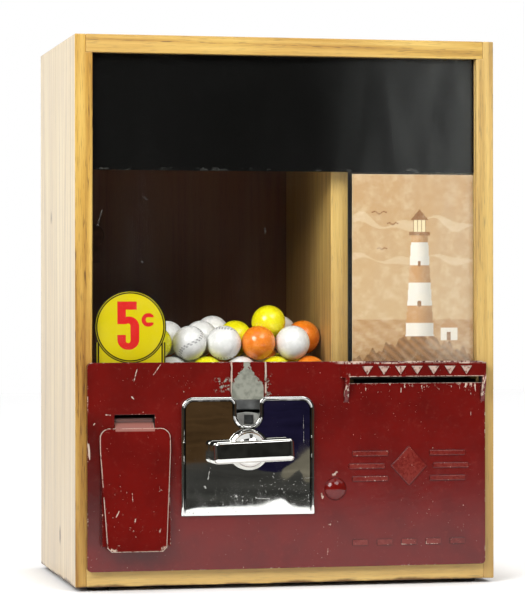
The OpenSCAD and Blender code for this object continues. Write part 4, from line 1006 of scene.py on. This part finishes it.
# studio: white sky and floor, two soft lamps, and a dim room that only polished surfaces see
studioSet = {"sky": 0.5, "floorTone": 0.82, "floorLift": 0.5, "floorHalf": 4.0,
             "lamps": (("keyLamp", (-1.5, -1.55, 1.35), 1.3, 42.0),
                       ("fillLamp", (0.7, -1.9, 2.1), 1.5, 26.0)),
             "roomHalf": 4.0, "roomEnd": -4.6, "roomTall": 2.4, "greyTop": 86.0,
             "tableEdge": ((-76.4, 52.3), (-69.8, 53.8), (-53.2, 54.3), (-36.6, 54.8), (-24.2, 55.4),
                           (-20.0, 56.4), (-15.8, 58.3), (-11.7, 59.7), (-8.0, 60.0), (-4.6, 59.0),
                           (-0.9, 56.6), (2.0, 55.2), (5.7, 54.5), (16.1, 53.5)),
             "navyPatch": ((-28.0, 86.0), (-22.0, 80.5), (-12.0, 78.5), (-4.0, 79.5), (3.0, 86.0),
                           (8.0, 92.0), (18.0, 95.0), (90.0, 95.0), (160.0, 139.0), (-35.0, 139.0)),
             "beigePatch": ((14.6, 95.4), (9.2, 91.6), (4.2, 88.3), (-1.7, 84.9), (-5.8, 80.9), (-6.7, 74.4),
                            (-3.3, 72.4), (0.0, 74.4), (2.5, 77.2), (6.5, 79.6), (8.6, 76.0), (8.6, 71.4),
                            (11.7, 69.5), (16.0, 71.0), (20.0, 80.0), (20.0, 95.0)),
             "grey": rgb(72, 72, 69), "brown": rgb(86, 64, 40), "navy": rgb(34, 30, 58),
             "beige": rgb(134, 128, 112), "wall": rgb(46, 46, 43), "ceiling": rgb(70, 68, 66),
             "strip": rgb(116, 114, 110), "stripX": (0.15, 0.75), "lay": 0.0006, "navyLay": 0.0008,
             "beigeLay": 0.001, "tableHalf": 0.5, "roomBack": 1.0, "ceilingY": -1.6,
             "stripY": -0.25, "mottle": 0.55, "side": rgb(84, 82, 78)}


def mirrored(spot, lift):
    # floor point shown by the coin plate at x, z: the camera's ray leaves the plate as steeply as it came
    x, z = spot
    low = z + woodZ / mm
    k = low / (cameraSet["z"] - z)
    e = plateSet["front"] - (plateSet["front"] - cameraSet["e"]) * k
    return (x + (x - cameraSet["x"]) * k) * mm, frontY + e * mm, lift


def seenDirectly():
    # 1 for camera, glossy and transmission rays
    seen = addNode("LightPath").outputs
    return most(*(seen["Is " + kind + " Ray"] for kind in ("Camera", "Glossy", "Transmission")))


def level(x0, x1, y0, y1, z):
    # corners of a flat rectangle at height z
    return [(x0, y0, z), (x1, y0, z), (x1, y1, z), (x0, y1, z)]


def upright(x0, y0, x1, y1, tall):
    # corners of a wall from the floor up
    return [(x0, y0, 0), (x1, y1, 0), (x1, y1, tall), (x0, y0, tall)]


def makeStudio(s):
    # sky, floor and lamps, then the boards of the dark room, which only reflections see
    world = bpy.data.worlds.new("studioSky")
    scene.world = world
    world.use_nodes = True
    begun["tree"] = world.node_tree
    coat(world.node_tree.nodes["Background"], Color=(1, 1, 1, 1),
         Strength=step(seenDirectly(), 0.0, 1.0, s["sky"], 1.0))
    half = s["floorHalf"]
    mesh = bpy.data.meshes.new("studioFloor")
    mesh.from_pydata(level(-half, half, -half, half, 0), [], [(0, 1, 2, 3)])
    floor = bpy.data.objects.new("studioFloor", mesh)
    scene.collection.objects.link(floor)
    mat, surface = newFinish("floorFinish", Roughness=1.0, Emission_Color=(1, 1, 1, 1))
    dim, pale = ((s["floorTone"] + more,) * 3 + (1,) for more in (0, 0.02))
    coat(surface, Base_Color=ramp(noise(where(), 3.0), [(0.3, dim), (0.7, pale)]))
    # painted contact shade: the floor's glow fades by ambient occlusion under and beside the cabinet
    clear = addNode("AmbientOcclusion", {"Distance": 0.05}).outputs["AO"]
    coat(surface, Emission_Strength=times(seenDirectly(), clear, clear, s["floorLift"]))
    mesh.materials.append(mat)
    middle = Vector((0, 0, 0.2))
    for name, at, size, power in s["lamps"]:
        lamp = bpy.data.lights.new(name, "AREA")
        lamp.shape, lamp.size, lamp.energy = "DISK", size, power
        ob = bpy.data.objects.new(name, lamp)
        scene.collection.objects.link(ob)
        ob.location = at
        ob.rotation_euler = (middle - Vector(at)).to_track_quat("-Z", "Y").to_euler()
    end, half, tall, top = s["roomEnd"], s["roomHalf"], s["roomTall"], s["greyTop"]
    lay, table, back = s["lay"], s["tableHalf"], s["roomBack"]
    edge = [mirrored(spot, lay) for spot in s["tableEdge"]]
    near0, near1, far = edge[0][1], edge[-1][1], mirrored((0.0, top), lay)[1]
    grey = [(-half, near0, lay)] + edge + [(half, near1, lay), (half, far, lay), (-half, far, lay)]
    boards = (("roomGrey", grey, s["grey"]), ("roomBrown", level(-half, half, far, end, lay), s["brown"]),
              ("roomNavy", [mirrored(spot, s["navyLay"]) for spot in s["navyPatch"]], s["navy"]),
              ("roomBeige", [mirrored(spot, s["beigeLay"]) for spot in s["beigePatch"]], s["beige"]),
              ("roomCeiling", level(-half, half, end, s["ceilingY"], tall), s["ceiling"]),
              ("roomStrip", level(*s["stripX"], s["ceilingY"], s["stripY"], tall), s["strip"]),
              ("roomWall", upright(-half, end, half, end, tall), s["wall"]),
              ("roomFloorLeft", level(-half, -table, near0, back, lay), s["side"]),
              ("roomFloorRight", level(table, half, near1, back, lay), s["side"]),
              ("roomLeft", upright(-half, end, -half, back, tall), s["side"]),
              ("roomRight", upright(half, end, half, back, tall), s["side"]))
    for name, corners, colour in boards:
        mesh = bpy.data.meshes.new(name)
        mesh.from_pydata(corners, [], [tuple(range(len(corners)))])
        ob = bpy.data.objects.new(name, mesh)
        scene.collection.objects.link(ob)
        mat, surface = newFinish(name + "Finish", Base_Color=(0, 0, 0, 1), Roughness=1.0,
                                 Specular_IOR_Level=0.0, Emission_Strength=1.0)
        tone = noise(where(), 8.0, 4.0)
        dim = tuple(s["mottle"] * v for v in colour[:3]) + (1,)
        coat(surface, Emission_Color=ramp(tone, [(0.35, dim), (0.65, colour)]))
        mesh.materials.append(mat)
        ob.visible_camera = ob.visible_diffuse = ob.visible_shadow = ob.visible_transmission = False


makeStudio(studioSet)
print("studio made")
